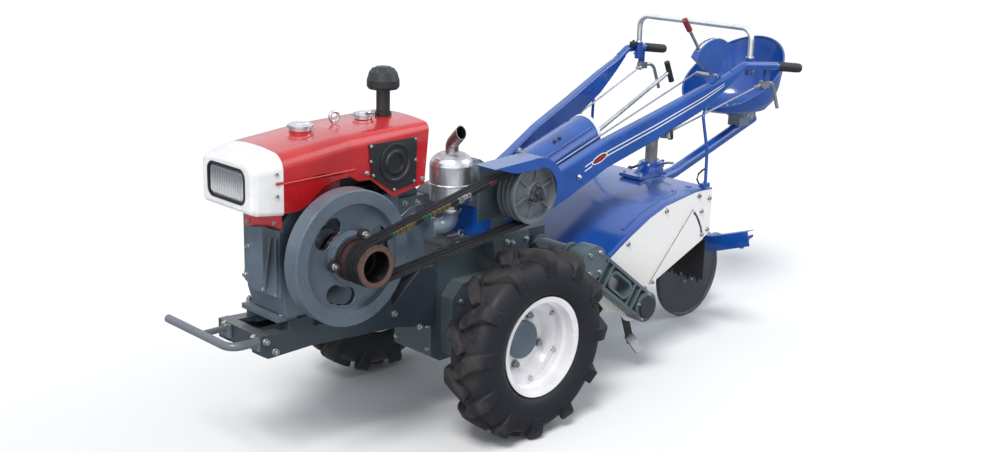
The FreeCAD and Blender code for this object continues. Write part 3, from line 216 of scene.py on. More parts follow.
def sky_maths(operation, a, b):
    return add_node(sky, "ShaderNodeMath", {"operation": operation}, {0: a, 1: b})[0]


def sky_ramp(value, low, high, out_low, out_high):
    return add_node(sky, "ShaderNodeMapRange", {"interpolation_type": "SMOOTHSTEP"},
                    {0: value, 1: low, 2: high, 3: out_low, 4: out_high})[0]


rays = add_node(sky, "ShaderNodeLightPath")
toward = add_node(sky, "ShaderNodeTexCoord")["Generated"]
split = add_node(sky, "ShaderNodeSeparateXYZ", {}, {0: toward})
band = sky_ramp(split[2], -0.12, 0.25, 0.34, 1.05)
panel = sky_ramp(sky_maths("ADD", split[0], split[1]), 0.75, 1.30, 0.0, 0.55)
unseen = sky_ramp(rays["Is Glossy Ray"], 0.0, 1.0, 0.60, sky_maths("ADD", band, panel))
seen = sky_maths("MAXIMUM", rays["Is Camera Ray"], rays["Is Transmission Ray"])
sky.links.new(sky_ramp(seen, 0.0, 1.0, unseen, 1.0), backing["Strength"])

# columns: name, strength, softness in degrees, colour, direction the light comes from
for name, strength, softness, colour, source in (
        ("key_light", 2.4, 20, (1.0, 0.985, 0.96), (0.60, 0.36, 0.95)),
        ("rear_light", 0.7, 40, (0.92, 0.96, 1.0), (-0.75, 0.55, 0.55))):
    lamp = bpy.data.lights.new(name, "SUN")
    lamp.energy = strength
    lamp.angle = radians(softness)
    lamp.color = colour
    in_scene(name, lamp).rotation_euler = Vector(source).to_track_quat("Z", "Y").to_euler()

yaw, pitch, roll = (radians(a) for a in (CAMERA_YAW, CAMERA_PITCH, CAMERA_ROLL))
ahead = Vector((-cos(yaw) * cos(pitch), -sin(yaw) * cos(pitch),
                -sin(pitch)))
level_side = ahead.cross(Vector(UP)).normalized()
level_up = level_side.cross(ahead)
side = level_side * cos(roll) + level_up * sin(roll)
up = level_up * cos(roll) - level_side * sin(roll)
camera = in_scene("camera", bpy.data.cameras.new("camera"))
camera.matrix_world = (Matrix.Translation(at(*CAMERA_PLACE))
                       @ Matrix((side, up, -ahead)).transposed().to_4x4())
camera.data.lens = CAMERA_LENS
camera.data.sensor_width = 36
camera.data.clip_end = 200
bpy.context.scene.camera = camera
bpy.context.scene.view_settings.view_transform = "Standard"


# Chassis frame and lifting bar: welded steel plate and a bent tube, in blue-grey enamel.
# The plate is sprayed over mill scale, so it has a soft grain and worn corners, and zinc
# bolts hold the bar, the engine and the gearbox.
FRAME_GREY = (0.034, 0.047, 0.062)
BARE_STEEL = (0.36, 0.36, 0.37)
# the near-black colour of painted shade, laid over enamel where a shade function says so
PAINTED_SHADE_COLOUR = (0.008, 0.010, 0.014)
RAIL_Y = 112.0


def enamel(name, colour, rough=0.3, coat=0.35, grain=0.00006, grain_scale=420, worn=0.5,
           chip=BARE_STEEL, dust=0.12, dust_colour=(0.26, 0.23, 0.20), painted_shade=None):
    # sprayed paint: orange peel, a little dust on what faces up, chips along the edges, and
    # painted shade where the given function of the paint says so
    paint = Finish(name)
    soft = paint.soft(0.0016)
    broad = paint.noise(5.0, 3)
    fine = paint.noise(85.0, 4)
    chips = paint.between(paint.edge(soft) * 2.2 + fine, 1.32 - worn * 0.6, 1.40 - worn * 0.6)
    facing = paint.node("ShaderNodeSeparateXYZ", {}, {0: soft}, out="Z")
    dusty = paint.between(facing + paint.noise(22.0, 5) * 0.7, 0.9, 1.5) * dust
    shade = paint.mottled(broad, 0.3, 0.7, [c * 0.88 for c in colour], [c * 1.10 for c in colour])
    skin = paint.blend(chips, paint.blend(dusty, shade, dust_colour), chip)
    if painted_shade:
        skin = paint.blend(painted_shade(paint), skin, PAINTED_SHADE_COLOUR)
    return paint.done(
        Base_Color=skin, Roughness=paint.between(broad + fine * 0.4, 0.4, 1.0, rough - 0.05,
                                                 rough + 0.10) + dusty * 0.5,
        Metallic=chips * 0.7, Coat_Weight=coat, Coat_Roughness=0.12,
        Normal=paint.bump(paint.noise(grain_scale, 2) - chips * 0.6, grain, soft))


def dress(material, *names):
    for name in names:
        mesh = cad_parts[name].data
        if not mesh.materials:
            mesh.materials.append(material)
        for n in range(len(mesh.materials)):
            mesh.materials[n] = material


def circle(x, y, z, r, degrees):
    # places round a circle that faces sideways, counted from the front upwards
    return [(x + r * cos(radians(a)), y, z + r * sin(radians(a)))
            for a in degrees]


class Stock:
    """Points and faces of one piece, gathered from simple forms."""

    def __init__(self):
        self.points = []
        self.faces = []

    def put(self, points, faces):
        base = len(self.points)
        self.points += [Vector(p) for p in points]
        self.faces += [[base + n for n in face] for face in faces]
        return self

    def turned(self, profile, centre, axis=LEFT, steps=28):
        # (radius, distance along the axis) in mm, closed where the radius is 0
        lead = Vector(axis).normalized()
        first = lead.orthogonal().normalized()
        second = lead.cross(first)
        points, rings = [], []
        for r, along in profile:
            if r == 0:
                rings.append([len(points)] * steps)
                points.append(at(*centre) + lead * along / 1000)
                continue
            rings.append(range(len(points), len(points) + steps))
            for n in range(steps):
                turn = tau * n / steps
                out = first * cos(turn) + second * sin(turn)
                points.append(at(*centre) + (lead * along + out * r) / 1000)
        faces = []
        for low, high in zip(rings, rings[1:]):
            for n in range(steps):
                m = (n + 1) % steps
                corners = [low[n], low[m], high[m], high[n]]
                faces.append(list(dict.fromkeys(corners)))
        return self.put(points, [f for f in faces if len(f) > 2])

    def swept(self, path, r, steps=12, wide=1.0, over=UP, closed=False):
        # a tube along points in mm; wide stretches it across
        line = [at(*p) for p in path]
        points, count = [], len(line)
        for n, p in enumerate(line):
            back = line[n - 1] if n or closed else p
            forth = line[(n + 1) % count] if n < count - 1 or closed else p
            lead = (forth - back).normalized()
            across = lead.cross(Vector(over)).normalized()
            rise = across.cross(lead)
            for k in range(steps):
                turn = tau * k / steps
                points.append(p + (across * cos(turn) * wide + rise * sin(turn))
                              * r / 1000)
        faces = []
        for n in range(count if closed else count - 1):
            a, b = n * steps, (n + 1) % count * steps
            faces += [[a + k, a + (k + 1) % steps, b + (k + 1) % steps, b + k]
                      for k in range(steps)]
        if not closed:
            faces += [list(range(steps))[::-1], [(count - 1) * steps + k for k in range(steps)]]
        return self.put(points, faces)

    def slab(self, outline, thickness):
        # an outline of places in mm, thickened along the vector
        lower = [at(*p) for p in outline]
        upper = [p + Vector(thickness) / 1000 for p in lower]
        n = len(lower)
        faces = [list(range(n)), [n + k for k in reversed(range(n))]]
        faces += [[k, k + n, (k + 1) % n + n, (k + 1) % n] for k in range(n)]
        return self.put(lower + upper, faces)

    def block(self, low, high):
        (x0, y0, z0), (x1, y1, z1) = low, high
        return self.slab([(x0, y0, z0), (x1, y0, z0), (x1, y1, z0), (x0, y1, z0)],
                         (0, 0, z1 - z0))

    def both_sides(self):
        # the same again on the machine's other side
        return self.put([(p.x, -p.y, p.z) for p in self.points],
                        [face[::-1] for face in self.faces])

    def piece(self, name, material, slot, body="machine", bevel=0.0, smooth=40):
        made = formed(name, self.points, self.faces)
        work = bmesh.new()
        work.from_mesh(made.data)
        bmesh.ops.remove_doubles(work, verts=work.verts, dist=1e-6)
        bmesh.ops.recalc_face_normals(work, faces=work.faces)
        work.to_mesh(made.data)
        work.free()
        if bevel:
            round_off = made.modifiers.new("round_off", "BEVEL")
            round_off.width = bevel / 1000
            round_off.segments = 2
            round_off.angle_limit = radians(50)
        return settled(made, material, body, smooth)


def settled(made, material, body, smooth=40):
    # the modifiers' result becomes the piece's plain mesh, which then rides on its body
    bpy.context.view_layer.update()
    graph = bpy.context.evaluated_depsgraph_get()
    mesh = bpy.data.meshes.new_from_object(made.evaluated_get(graph))
    made.modifiers.clear()
    made.data = mesh
    mesh.shade_smooth()
    mesh.set_sharp_from_angle(angle=radians(smooth))
    mesh.materials.clear()
    mesh.materials.append(material)
    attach(made, body)
    return made


def bolt_tree():
    # a hexagon head with its washer and the end of its stud, on every point of a mesh
    tree = bpy.data.node_groups.new("hex_bolts", "GeometryNodeTree")
    for name, way, kind in (
            ("Geometry", "INPUT", "Geometry"), ("Across", "INPUT", "Float"),
            ("Height", "INPUT", "Float"), ("Washer", "INPUT", "Float"), ("Stud", "INPUT", "Float"),
            ("Material", "INPUT", "Material"), ("Geometry", "OUTPUT", "Geometry")):
        tree.interface.new_socket(name, in_out=way, socket_type="NodeSocket" + kind)

    def maths(operation, a, b):
        return add_node(tree, "ShaderNodeMath", {"operation": operation}, {0: a, 1: b})[0]

    given = add_node(tree, "NodeGroupInput")
    joined = tree.nodes.new("GeometryNodeJoinGeometry")
    washer_thick = 0.0016
    # columns: corners, radius, depth, middle of the depth
    for corners, radius, depth, middle in (
            (6, maths("MULTIPLY", given["Across"], 0.577), given["Height"],
             maths("ADD", maths("MULTIPLY", given["Height"], 0.5), washer_thick)),
            (18, given["Washer"], washer_thick, washer_thick / 2),
            (10, maths("MULTIPLY", given["Across"], 0.27), given["Stud"],
             maths("ADD", maths("ADD", maths("MULTIPLY", given["Stud"], 0.5), given["Height"]),
                   washer_thick * 0.5))):
        rod = add_node(tree, "GeometryNodeMeshCylinder", {},
                       {"Vertices": corners, "Radius": radius, "Depth": depth})
        raised = add_node(tree, "ShaderNodeCombineXYZ", {}, {"Z": middle})
        moved = add_node(tree, "GeometryNodeTransform", {},
                         {"Geometry": rod[0], "Translation": raised[0]})
        tree.links.new(moved[0], joined.inputs[0])
    facing = add_node(tree, "GeometryNodeInputNamedAttribute", {"data_type": "FLOAT_VECTOR"},
                      {"Name": "facing"})
    aligned = add_node(tree, "FunctionNodeAlignRotationToVector", {"axis": "Z"},
                       {"Vector": facing[0]})
    turn = add_node(tree, "FunctionNodeRandomValue", {"data_type": "FLOAT"},
                    {"Max": 1.0, "Seed": 3})
    spin = add_node(tree, "FunctionNodeAxisAngleToRotation", {},
                    {"Axis": UP, "Angle": turn["Value"]})
    turned = add_node(tree, "FunctionNodeRotateRotation", {"rotation_space": "LOCAL"},
                      {0: aligned[0], 1: spin[0]})
    placed = add_node(tree, "GeometryNodeInstanceOnPoints", {}, {
        "Points": given["Geometry"], "Instance": joined.outputs[0], "Rotation": turned[0]})
    real = add_node(tree, "GeometryNodeRealizeInstances", {}, {0: placed[0]})
    coated = add_node(tree, "GeometryNodeSetMaterial", {},
                      {"Geometry": real[0], "Material": given["Material"]})
    add_node(tree, "NodeGroupOutput", {}, {0: coated[0]})
    return tree


HEX_BOLTS = bolt_tree()


def bolts(name, places, facing, across, material, body="machine",
          washer=0.0, stud=0.0, height=0.0, both=False):
    # across the flats, washer diameter and stud length in mm; both adds the other side's
    ways = [facing] * len(places)
    if both:
        places = places + [(x, -y, z) for x, y, z in places]
        ways += [(facing[0], -facing[1], facing[2])] * len(ways)
    made = formed(name, [at(*p) for p in places])
    attribute = made.data.attributes.new("facing", "FLOAT_VECTOR", "POINT")
    for item, way in zip(attribute.data, ways):
        item.vector = Vector(way).normalized()
    grown = made.modifiers.new("hex_bolts", "NODES")
    grown.node_group = HEX_BOLTS
    sizes = {"Across": across / 1000, "Height": (height or across * 0.55) / 1000,
             "Washer": (washer or across * 1.3) / 2000, "Stud": max(stud, 0.2) / 1000,
             "Material": material}
    for item in HEX_BOLTS.interface.items_tree:
        if item.in_out == "INPUT" and item.name in sizes:
            grown[item.identifier] = sizes[item.name]
    return settled(made, material, body, 30)


def plated(name, colour=(0.60, 0.61, 0.63), rough=0.28, tint=(0.42, 0.40, 0.34)):
    # zinc plate: bright, a little cloudy, duller where hands and weather reach it
    metal = Finish(name)
    cloud = metal.noise(38.0, 4)
    brushed = metal.noise(380.0, 2)
    return metal.done(Base_Color=metal.mottled(cloud, 0.42, 0.72, colour, tint),
                      Metallic=0.95,
                      Roughness=metal.between(cloud + brushed * 0.3, 0.4, 0.9, rough - 0.06,
                                              rough + 0.14),
                      Normal=metal.bump(brushed, 0.00003, metal.soft(0.0008)))


frame_grey = enamel("frame_grey", FRAME_GREY, rough=0.34, grain=0.00010, grain_scale=260,
                    worn=0.55, dust=0.20)
bar_grey = enamel("bar_grey", (0.125, 0.138, 0.165), rough=0.38, grain=0.00008, worn=0.7)
zinc = plated("zinc_plate")
dress(frame_grey, "chassis_frame")
dress(bar_grey, "lifting_bar")
bolts("rail_bolts", [(817, RAIL_Y, 432), (785, RAIL_Y, 393), (323, RAIL_Y, 410),
                     (213, RAIL_Y, 340)], LEFT, 17, zinc, stud=4, both=True)
bolts("bar_bolts", [(845, 92, 444), (845, -62, 446)], (0.5, 0, 1), 15, zinc, stud=3)

# Engine block: crankcase, timing gear case and cylinder head in ribbed grey iron. The
# castings keep the grain of the sand under thick enamel; covers are held by rows of bolts.
CASTING_GREY = (0.082, 0.114, 0.150)
ENGINE_FRONT_X = 768.0
GEAR_CASE_Y = -152.3
CRANK_X, CRANK_Z = 630.0, 696.0


# painted shade: darkens the crankcase's left side within about 0.2 m of the crank, where the
# flywheel shades it
def shade_behind_flywheel(paint):
    near = paint.between(paint.reach(CRANK_X, CRANK_Z) + paint.noise(12.0, 3) * 0.03,
                         0.150, 0.205, 1.0, 0.0)
    return near * (paint.axis("Y") > 0.05) * 0.88


casting_grey = enamel("casting_grey", CASTING_GREY, rough=0.42, coat=0.2, grain=0.00035,
                      grain_scale=170, worn=0.42, dust=0.22, painted_shade=shade_behind_flywheel)
dress(casting_grey, "crankcase", "gear_case", "cylinder_head")
bolts("front_plate_bolts", [(ENGINE_FRONT_X + 12, y, z) for y, z in (
    (-46, 596), (54, 574), (120, 574), (-26, 690))], AHEAD, 11, zinc)
case_outline = [(700, 552), (700, 650), (700, 758), (658, 806), (565, 806), (478, 806),
                (414, 752), (414, 660), (414, 606), (470, 532), (570, 528), (660, 524)]
bolts("gear_case_bolts", [(x, GEAR_CASE_Y, z) for x, z in case_outline], (0, -1, 0), 12, zinc)
bolts("engine_foot_bolts", [(x, y, 496) for x in (745, 690, 380) for y in (-80, 94)],
      UP, 17, zinc, stud=6)
side_plates = Stock()
side_plates.turned([(0, 8), (38, 8), (42, 5), (42, 0), (0, 0)], (480, 138, 600))
side_plates.block((350, 138, 560), (420, 144, 640))
side_plates.piece("crankcase_covers", casting_grey, "grey_casting", bevel=1.5)
bolts("crankcase_cover_bolts", [(x, 144, z) for z in (572, 628) for x in (360, 410)]
      + circle(480, 143, 600, 34, range(0, 360, 90)), LEFT, 10, zinc)
# rocker cover joint, nuts on the head and the injector with its pipe
bolts("head_nuts", [(205, y, z) for y in (-72, 10, 84) for z in (590, 762)], (-1, 0, 0), 17,
      zinc, stud=8)
bolts("rocker_nuts", [(288, 118, 774), (236, 118, 770)], LEFT, 15, zinc, stud=4)
injector = Stock()
injector.turned([(0, 46), (6, 46), (6, 34), (9, 33), (9, 18), (12, 17), (12, -6), (0, -6)],
                (248, 118, 728), (-0.4, 1, 0.25), steps=12)
injector.turned([(0, 14), (13, 14), (15, 10), (15, 0), (0, 0)], (300, 138, 706), steps=16)
injector.piece("injector_body", zinc, "bright_steel")
pipe_steel = plated("pipe_steel", (0.17, 0.17, 0.18), 0.42, (0.09, 0.09, 0.09))
fuel_pipe = Stock().swept(
    [(232, 158, 738), (236, 168, 760), (262, 172, 778), (310, 168, 772), (352, 160, 740),
     (372, 154, 700), (392, 150, 660), (420, 148, 640)], 2.5, 8)
fuel_pipe.piece("fuel_pipe", pipe_steel, "dark_steel", smooth=70)
fillers = Stock()
fillers.turned([(0, -34), (14, -34), (17, -30), (17, -20), (11, -18), (11, 0), (0, 0)],
               (440, GEAR_CASE_Y, 560), steps=18)
fillers.turned([(0, -22), (20, -22), (24, -18), (24, 0), (0, 0)], (655, GEAR_CASE_Y, 720),
               steps=20)
fillers.piece("oil_filler_and_cover", casting_grey, "grey_casting")

# Flywheel and its three-groove pulley. The wheel is turned iron in grey enamel, with a rim
# polished by handling; the pulley is unpainted iron that has rusted, bolted on by its lobes.


# painted shade: near black on the walls of the flywheel's kidney holes, behind its face
def kidney_hole_shade(paint):
    reach = paint.reach(CRANK_X, CRANK_Z)
    return (reach > 0.084) * (reach < 0.150) * (paint.axis("Y") < 0.2742) * 0.93


wheel_grey = enamel("wheel_grey", (0.088, 0.118, 0.155), rough=0.30, coat=0.3, grain=0.00022,
                    grain_scale=190, worn=0.85, chip=(0.50, 0.50, 0.52), dust=0.10,
                    painted_shade=kidney_hole_shade)
dress(wheel_grey, "flywheel")
rusty = Finish("rusted_iron")
reach = rusty.reach(CRANK_X, CRANK_Z)
depth = rusty.axis("Y")
rust = rusty.between(rusty.noise(48.0, 6) + rusty.between(depth, 0.388, 0.399) * 0.25, 0.46, 0.80)
ring = rusty.between(abs(reach - 0.0545) * 1000, 2.5, 6.0, 1.0, 0.0)
# painted shade: the inner wall of the pulley's bore is near black
shaded_bore = (reach < 0.0478) * (depth < 0.3990)
iron = rusty.blend(rust, (0.042, 0.038, 0.043), (0.085, 0.047, 0.040))
iron = rusty.blend(ring * 0.7, iron, (0.14, 0.064, 0.050))
dress(rusty.done(Base_Color=rusty.blend(shaded_bore, iron, (0.006, 0.006, 0.007)),
                 Metallic=rusty.number(rust + shaded_bore, 0.55, 0.10),
                 Roughness=rusty.number(rust, 0.42, 0.78),
                 Normal=rusty.bump(rusty.noise(260.0, 4), 0.00035, rusty.soft(0.0012))),
      "engine_pulley")
bolts("pulley_lobe_bolts", circle(CRANK_X, 305.4, CRANK_Z, 77, (115, 235, 355)), LEFT, 17,
      zinc, body="crank", stud=2)

# Belt drive: three rubber V-belts to the clutch pulley, whose face is cast with a black
# hub. Plain coloured marks run along the outer belt.
CLUTCH_X, CLUTCH_Z = -15.0, 815.0
MARK_GREEN, MARK_YELLOW = (0.02, 0.22, 0.09), (0.30, 0.22, 0.04)
belt = Finish("belt_rubber")
along = belt.axis("X")
upper_run = (belt.axis("Z") - (along - (CRANK_X + AXLE_X) / 1000) * -0.185) > 0.735
outer_belt = belt.axis("Y") > 0.3775
lengthways = belt.node("ShaderNodeCombineXYZ", {}, {"X": along})
broken = belt.between(belt.noise(190.0, 1, lengthways), 0.46, 0.54)
fibre = belt.noise(210.0, 4)
dull = belt.mottled(fibre, 0.45, 0.8, (0.010, 0.010, 0.012), (0.032, 0.032, 0.036))
# columns: where the mark starts and ends, its share, its colour
for start, end, share, tint in (
        (550, 563, 0.6, MARK_GREEN), (412, 443, 0.6, MARK_GREEN), (474, 547, 0.5, MARK_YELLOW),
        (337, 407, 0.5, MARK_YELLOW), (252, 304, 0.6, (0.60, 0.60, 0.62)),
        (149, 178, 0.5, (0.32, 0.03, 0.03))):
    mark = (along > (start + AXLE_X) / 1000) * (along < (end + AXLE_X) / 1000)
    dull = belt.blend(mark * upper_run * outer_belt * broken * share, dull, tint)
dress(belt.done(Base_Color=dull, Roughness=0.62, Specular_IOR_Level=0.25,
                Normal=belt.bump(fibre, 0.0002)), "drive_belts")
pulley_grey = enamel("pulley_grey", (0.100, 0.118, 0.134), rough=0.45, coat=0.1, grain=0.00030,
                     grain_scale=190, worn=0.8, chip=(0.34, 0.34, 0.35), dust=0.2)
dress(pulley_grey, "clutch_pulley")
black_iron = enamel("black_iron", (0.020, 0.021, 0.025), rough=0.42, coat=0.15, grain=0.0003,
                    grain_scale=200, worn=0.5, dust=0.15)
hub = Stock()
hub.turned([(0, 20), (12, 20), (13, 14), (24, 13), (27, 10), (27, 0), (0, 0)],
           (CLUTCH_X, 400, CLUTCH_Z), steps=24)
hub_studs = circle(CLUTCH_X, 400, CLUTCH_Z, 25, (95, 215, 335))
for place in hub_studs:
    hub.turned([(0, 14), (10, 14), (12, 11), (12, -6), (0, -6)], place, steps=16)
hub.piece("clutch_hub", black_iron, "grey_casting", body="clutch")
bolts("clutch_hub_bolts", [(x, 414, z) for x, _, z in hub_studs], LEFT, 9, black_iron,
      body="clutch")

# Hood: fuel tank in front and rear cowl behind it, pressed in sheet steel and sprayed red.
# A raised bead runs along each side; the fan cover and the grille are black pressings.
HOOD_HALF_W = 150.0
FAN_COVER_Y, GRILLE_Y = 155.3, -154.3
SEAM_X = 532.0
RED = (0.50, 0.0115, 0.016)
red_paint = enamel("red_paint", RED, rough=0.22, coat=0.55, grain=0.00002, grain_scale=300,
                   worn=0.04, chip=(0.30, 0.06, 0.05), dust=0.03, dust_colour=(0.55, 0.32, 0.30))
black_sheet = enamel("black_sheet", (0.016, 0.017, 0.020), rough=0.33, coat=0.2, grain=0.0001,
                     worn=0.25, chip=(0.15, 0.15, 0.16), dust=0.10)
dress(red_paint, "fuel_tank", "rear_hood")
dress(black_sheet, "fan_cover", "radiator_grille")
bead = Stock().swept(
    [(769, HOOD_HALF_W, 913), (700, HOOD_HALF_W, 915), (620, HOOD_HALF_W, 917),
     (545, HOOD_HALF_W, 919), (520, HOOD_HALF_W, 919.5), (508, HOOD_HALF_W - 2, 920)],
    3.4, 10, wide=0.8)
bead.both_sides().piece("hood_beads", red_paint, "red_paint", smooth=70)
fins = Stock()
for n in range(24):
    x = 270 + 8 * n
    fins.block((x, -144, 862), (x + 1.4, -138, 986))
fins.block((262, -138, 858), (470, -134, 990))
fins.piece("radiator_core", black_sheet, "dark_steel")
bolts("cowl_bolts", [(466, 150, 902), (243, 150, 854)], LEFT, 10, zinc, washer=16,
      both=True)
fan_screws = [(454, 985), (278, 987), (446, 893), (282, 853), (363, 837), (455, 938), (277, 920)]
bolts("fan_cover_bolts", [(x, FAN_COVER_Y, z) for x, z in fan_screws], LEFT, 7, zinc, washer=10)
bolts("grille_bolts", [(x, GRILLE_Y, z) for x in (267, 465) for z in (863, 985)], (0, -1, 0), 7,
      zinc, washer=10)
tanks = Stock().block((244, -118, 838), (526, 62, 958))
tanks.piece("radiator_tanks", black_sheet, "dark_steel", bevel=4)
tongue = Stock().slab(
    [(768.6, y, z) for y, z in ((-57, 746), (-22, 753), (60, 769.5), (137, 776), (137, 822),
                                (-57, 822))], (2, 0, 0))
tongue.piece("tank_tongue", red_paint, "red_paint", bevel=0.5)
# the tank's left side sweeps down ahead of the flywheel, with its edge folded inwards
SKIRT = ((772.5, 824), (727, 824.5), (708, 829), (691, 837), (672, 850), (654, 865), (636, 879),
         (618, 889), (600, 895), (570, 899), (536, 900))
skirt_plate = Stock()
skirt_plate.slab([(x, 147.6, z) for x, z in SKIRT + ((536, 911), (772.5, 911))], (0, 2.5, 0))
for (x0, z0), (x1, z1) in zip(SKIRT, SKIRT[1:]):
    skirt_plate.slab([(x0, 122, z0), (x0, 150, z0), (x1, 150, z1), (x1, 122, z1)], (0, 0, 1.4))
skirt_plate.piece("tank_skirt", red_paint, "red_paint", smooth=50)
bolts("tank_tongue_bolts", [(770.6, -38, 764), (770.6, 104, 787)], AHEAD, 10, zinc)

# Caps, lifting eye and air stack: pressed zinc-plated caps with finger lugs, a forged eye,
# and a moulded black rain cap on a short rubber-black pipe.
cap_metal = plated("cap_metal", (0.74, 0.74, 0.76), 0.20, (0.62, 0.61, 0.60))
dress(cap_metal, "filler_caps", "lifting_eye")
for name, x, z, r in (("fuel_cap_lugs", 603, 1045, 40), ("water_cap_lugs", 362, 1056, 34)):
    lugs = Stock()
    lugs.turned([(0, 6), (r - 20, 6), (r - 17, 3), (r - 17, 0), (0, 0)], (x, 0, z - 4),
                UP, steps=24)
    lugs.block((x - r + 1, -5, z - 6), (x + r - 1, 5, z + 4))
    lugs.piece(name, cap_metal, "bright_steel", bevel=1.0)
moulded = Finish("moulded_black")
moulded_black = moulded.done(
    Base_Color=moulded.mottled(moulded.noise(14.0, 3), 0.4, 0.7, (0.014, 0.015, 0.018),
                               (0.024, 0.025, 0.029)),
    Roughness=moulded.between(moulded.noise(60.0, 3), 0.3, 0.7, 0.36, 0.52),
    Normal=moulded.bump(moulded.noise(500.0, 2), 0.00008, moulded.soft(0.002)))
dress(moulded_black, "air_stack")
STACK_X = 281.0
stack = Stock()
for n in range(6):
    turn = radians(60 * n + 20)
    stack.swept([(STACK_X + r * cos(turn), r * sin(turn), z)
                 for r, z in ((46, 1160), (42, 1176), (30, 1190))], 3.0, 8, wide=1.8)
stack.turned([(24, -3), (27, -3), (27, 8), (24, 8)], (STACK_X, 0, 1042), UP, steps=24)
stack.piece("rain_cap_ribs", moulded_black, "black_plastic", smooth=60)

# Headlamp: a white moulded fairing clipped to the tank, a black-lipped bowl with a bright
# reflector and a bulb, and a pressed glass with upright flutes.
LAMP_Z = 903.5
white_paint = enamel("white_enamel", (0.80, 0.79, 0.80), rough=0.25, coat=0.5, grain=0.00005,
                     grain_scale=300, worn=0.0, chip=(0.45, 0.45, 0.46), dust=0.02,
                     dust_colour=(0.60, 0.57, 0.53))
dress(white_paint, "headlamp_fairing")
catches = Stock()
for z in (949, 884):
    catches.turned([(0, 3.2), (3, 3), (5, 1.6), (5.4, -0.5), (0, -0.5)],
                   (794, HOOD_HALF_W + 1, z), steps=18)
    catches.block((787, HOOD_HALF_W, z - 8.5), (801, HOOD_HALF_W + 2, z - 6))
catches.both_sides().piece("fairing_catches", zinc, "bright_steel")
bead_ends = Stock().swept(
    [(773, 150.4, 917), (784, 150.6, 917), (794, 150.8, 917), (797, 149.5, 917)], 4.2, 10,
    wide=0.6)
bead_ends.both_sides().piece("fairing_notches", red_paint, "red_paint", smooth=70)
bowl = Finish("lamp_bowl")
inside = ((abs(bowl.axis("Y")) < 0.0905)
          * (abs(bowl.axis("Z") - LAMP_Z / 1000) < 0.0462)
          * (bowl.axis("X") < (846 + AXLE_X) / 1000))
ripple = bowl.noise(26.0, 2)
dress(bowl.done(Base_Color=bowl.blend(inside, (0.012, 0.012, 0.014), (0.84, 0.84, 0.85)),
                Metallic=inside, Roughness=bowl.number(inside, 0.45, 0.13),
                Normal=bowl.bump(ripple, 0.0012)), "headlamp")
bulb = Stock().turned(
    [(0, 20), (6, 18), (9, 12), (9, 5), (6, 0), (12, 0), (12, -3), (0, -3)],
    (829, 0, LAMP_Z), AHEAD, steps=20)
bulb.piece("lamp_bulb", zinc, "bright_steel", smooth=60)
glass = Finish("fluted_glass")
flutes = abs((glass.axis("Y") * 340).maths("SINE"))
# painted reflection: the glass's colour is near white low down and dark grey towards the top,
# streaked along the flutes
shaded = glass.between(glass.axis("Z") + flutes * 0.035 + glass.noise(18.0, 2) * 0.03, 0.905,
                       0.975)
dress(glass.done(Base_Color=glass.blend(shaded, (0.97, 0.98, 0.99), (0.30, 0.32, 0.36)),
                 Roughness=glass.between(glass.noise(40.0, 2), 0.3, 0.7, 0.03, 0.10),
                 Transmission_Weight=0.42, IOR=1.45, Normal=glass.bump(flutes, 0.0030)),
      "headlamp_lens")

# Exhaust: a cast elbow and a silencer of pressed and seamed sheet, heat-tinted towards its
# bent outlet, with soot and painted shade, near black, inside the mouth.
MUFFLER_X, MUFFLER_Y, MUFFLER_Z = 134.0, 167.0, 742.3
sheet = Finish("silencer_sheet")
streak = sheet.noise(9.0, 5, sheet.node("ShaderNodeMapping", {}, {0: sheet.spot, 3: (6, 6, 0.8)}))
cloud = sheet.noise(34.0, 4)
x_off = sheet.axis("X") - (MUFFLER_X + AXLE_X) / 1000
y_off = sheet.axis("Y") - MUFFLER_Y / 1000
z_off = sheet.axis("Z") - (MUFFLER_Z + 214) / 1000
across_pipe = (z_off - y_off) * 0.7071
from_axis = (x_off * x_off + across_pipe * across_pipe).maths("POWER", 0.5)
# soot and painted shade: the inside of the outlet's mouth is near black
soot_and_shade = (from_axis < 0.0192) * ((z_off + y_off) > 0.012)
heat = sheet.between(sheet.axis("Z") + cloud * 0.03, 0.905, 0.985)
foot_dark = sheet.between(sheet.axis("Z") + cloud * 0.02, 0.762, 0.800, 1.0, 0.0)
tinted = sheet.mottled(streak + cloud * 0.5, 0.55, 0.95, (0.74, 0.73, 0.75), (0.50, 0.50, 0.53))
tinted = sheet.blend(foot_dark * 0.9, tinted, (0.085, 0.09, 0.105))
tinted = sheet.blend(heat * 0.85, tinted, (0.25, 0.18, 0.17))
dress(sheet.done(Base_Color=sheet.blend(soot_and_shade, tinted, (0.010, 0.009, 0.009)),
                 Metallic=sheet.number(soot_and_shade, 0.92, 0.0),
                 Roughness=sheet.between(streak + cloud * 0.4 + soot_and_shade, 0.4, 1.2, 0.24, 0.46),
                 Normal=sheet.bump(streak, 0.00025, sheet.soft(0.0012))), "muffler")
cast_light = enamel("cast_light", (0.130, 0.165, 0.220), rough=0.32, coat=0.3, grain=0.00030,
                    grain_scale=150, worn=0.5, dust=0.15)
dress(cast_light, "exhaust_elbow")
joint = Stock()
joint.turned([(31, -3), (34, -3), (35, 0), (35, 5), (33, 8), (24, 8), (24, 13), (22.2, 13)],
             (MUFFLER_X, MUFFLER_Y, 738), UP, steps=32)
for n in range(3):
    joint.turned([(22, 0), (24, 1.5), (22, 3)], (MUFFLER_X, MUFFLER_Y, 750 + 3 * n), UP,
                 steps=32)
joint.piece("silencer_joint", zinc, "bright_steel", smooth=50)
bolts("elbow_bolts", [(184.5, y, z) for y in (99, 143) for z in (661, 709)], (-1, 0, 0), 13,
      zinc, stud=5)
pull = Stock()
pull.swept([(122, 138, 640), (104, 142, 641), (86, 146, 643), (76, 148, 645)], 4.2, 10)
pull.swept(circle(72, 150, 645, 11, range(0, 360, 30)), 3.0, 8, over=LEFT, closed=True)
pull.piece("pull_ring", zinc, "bright_steel", smooth=60)

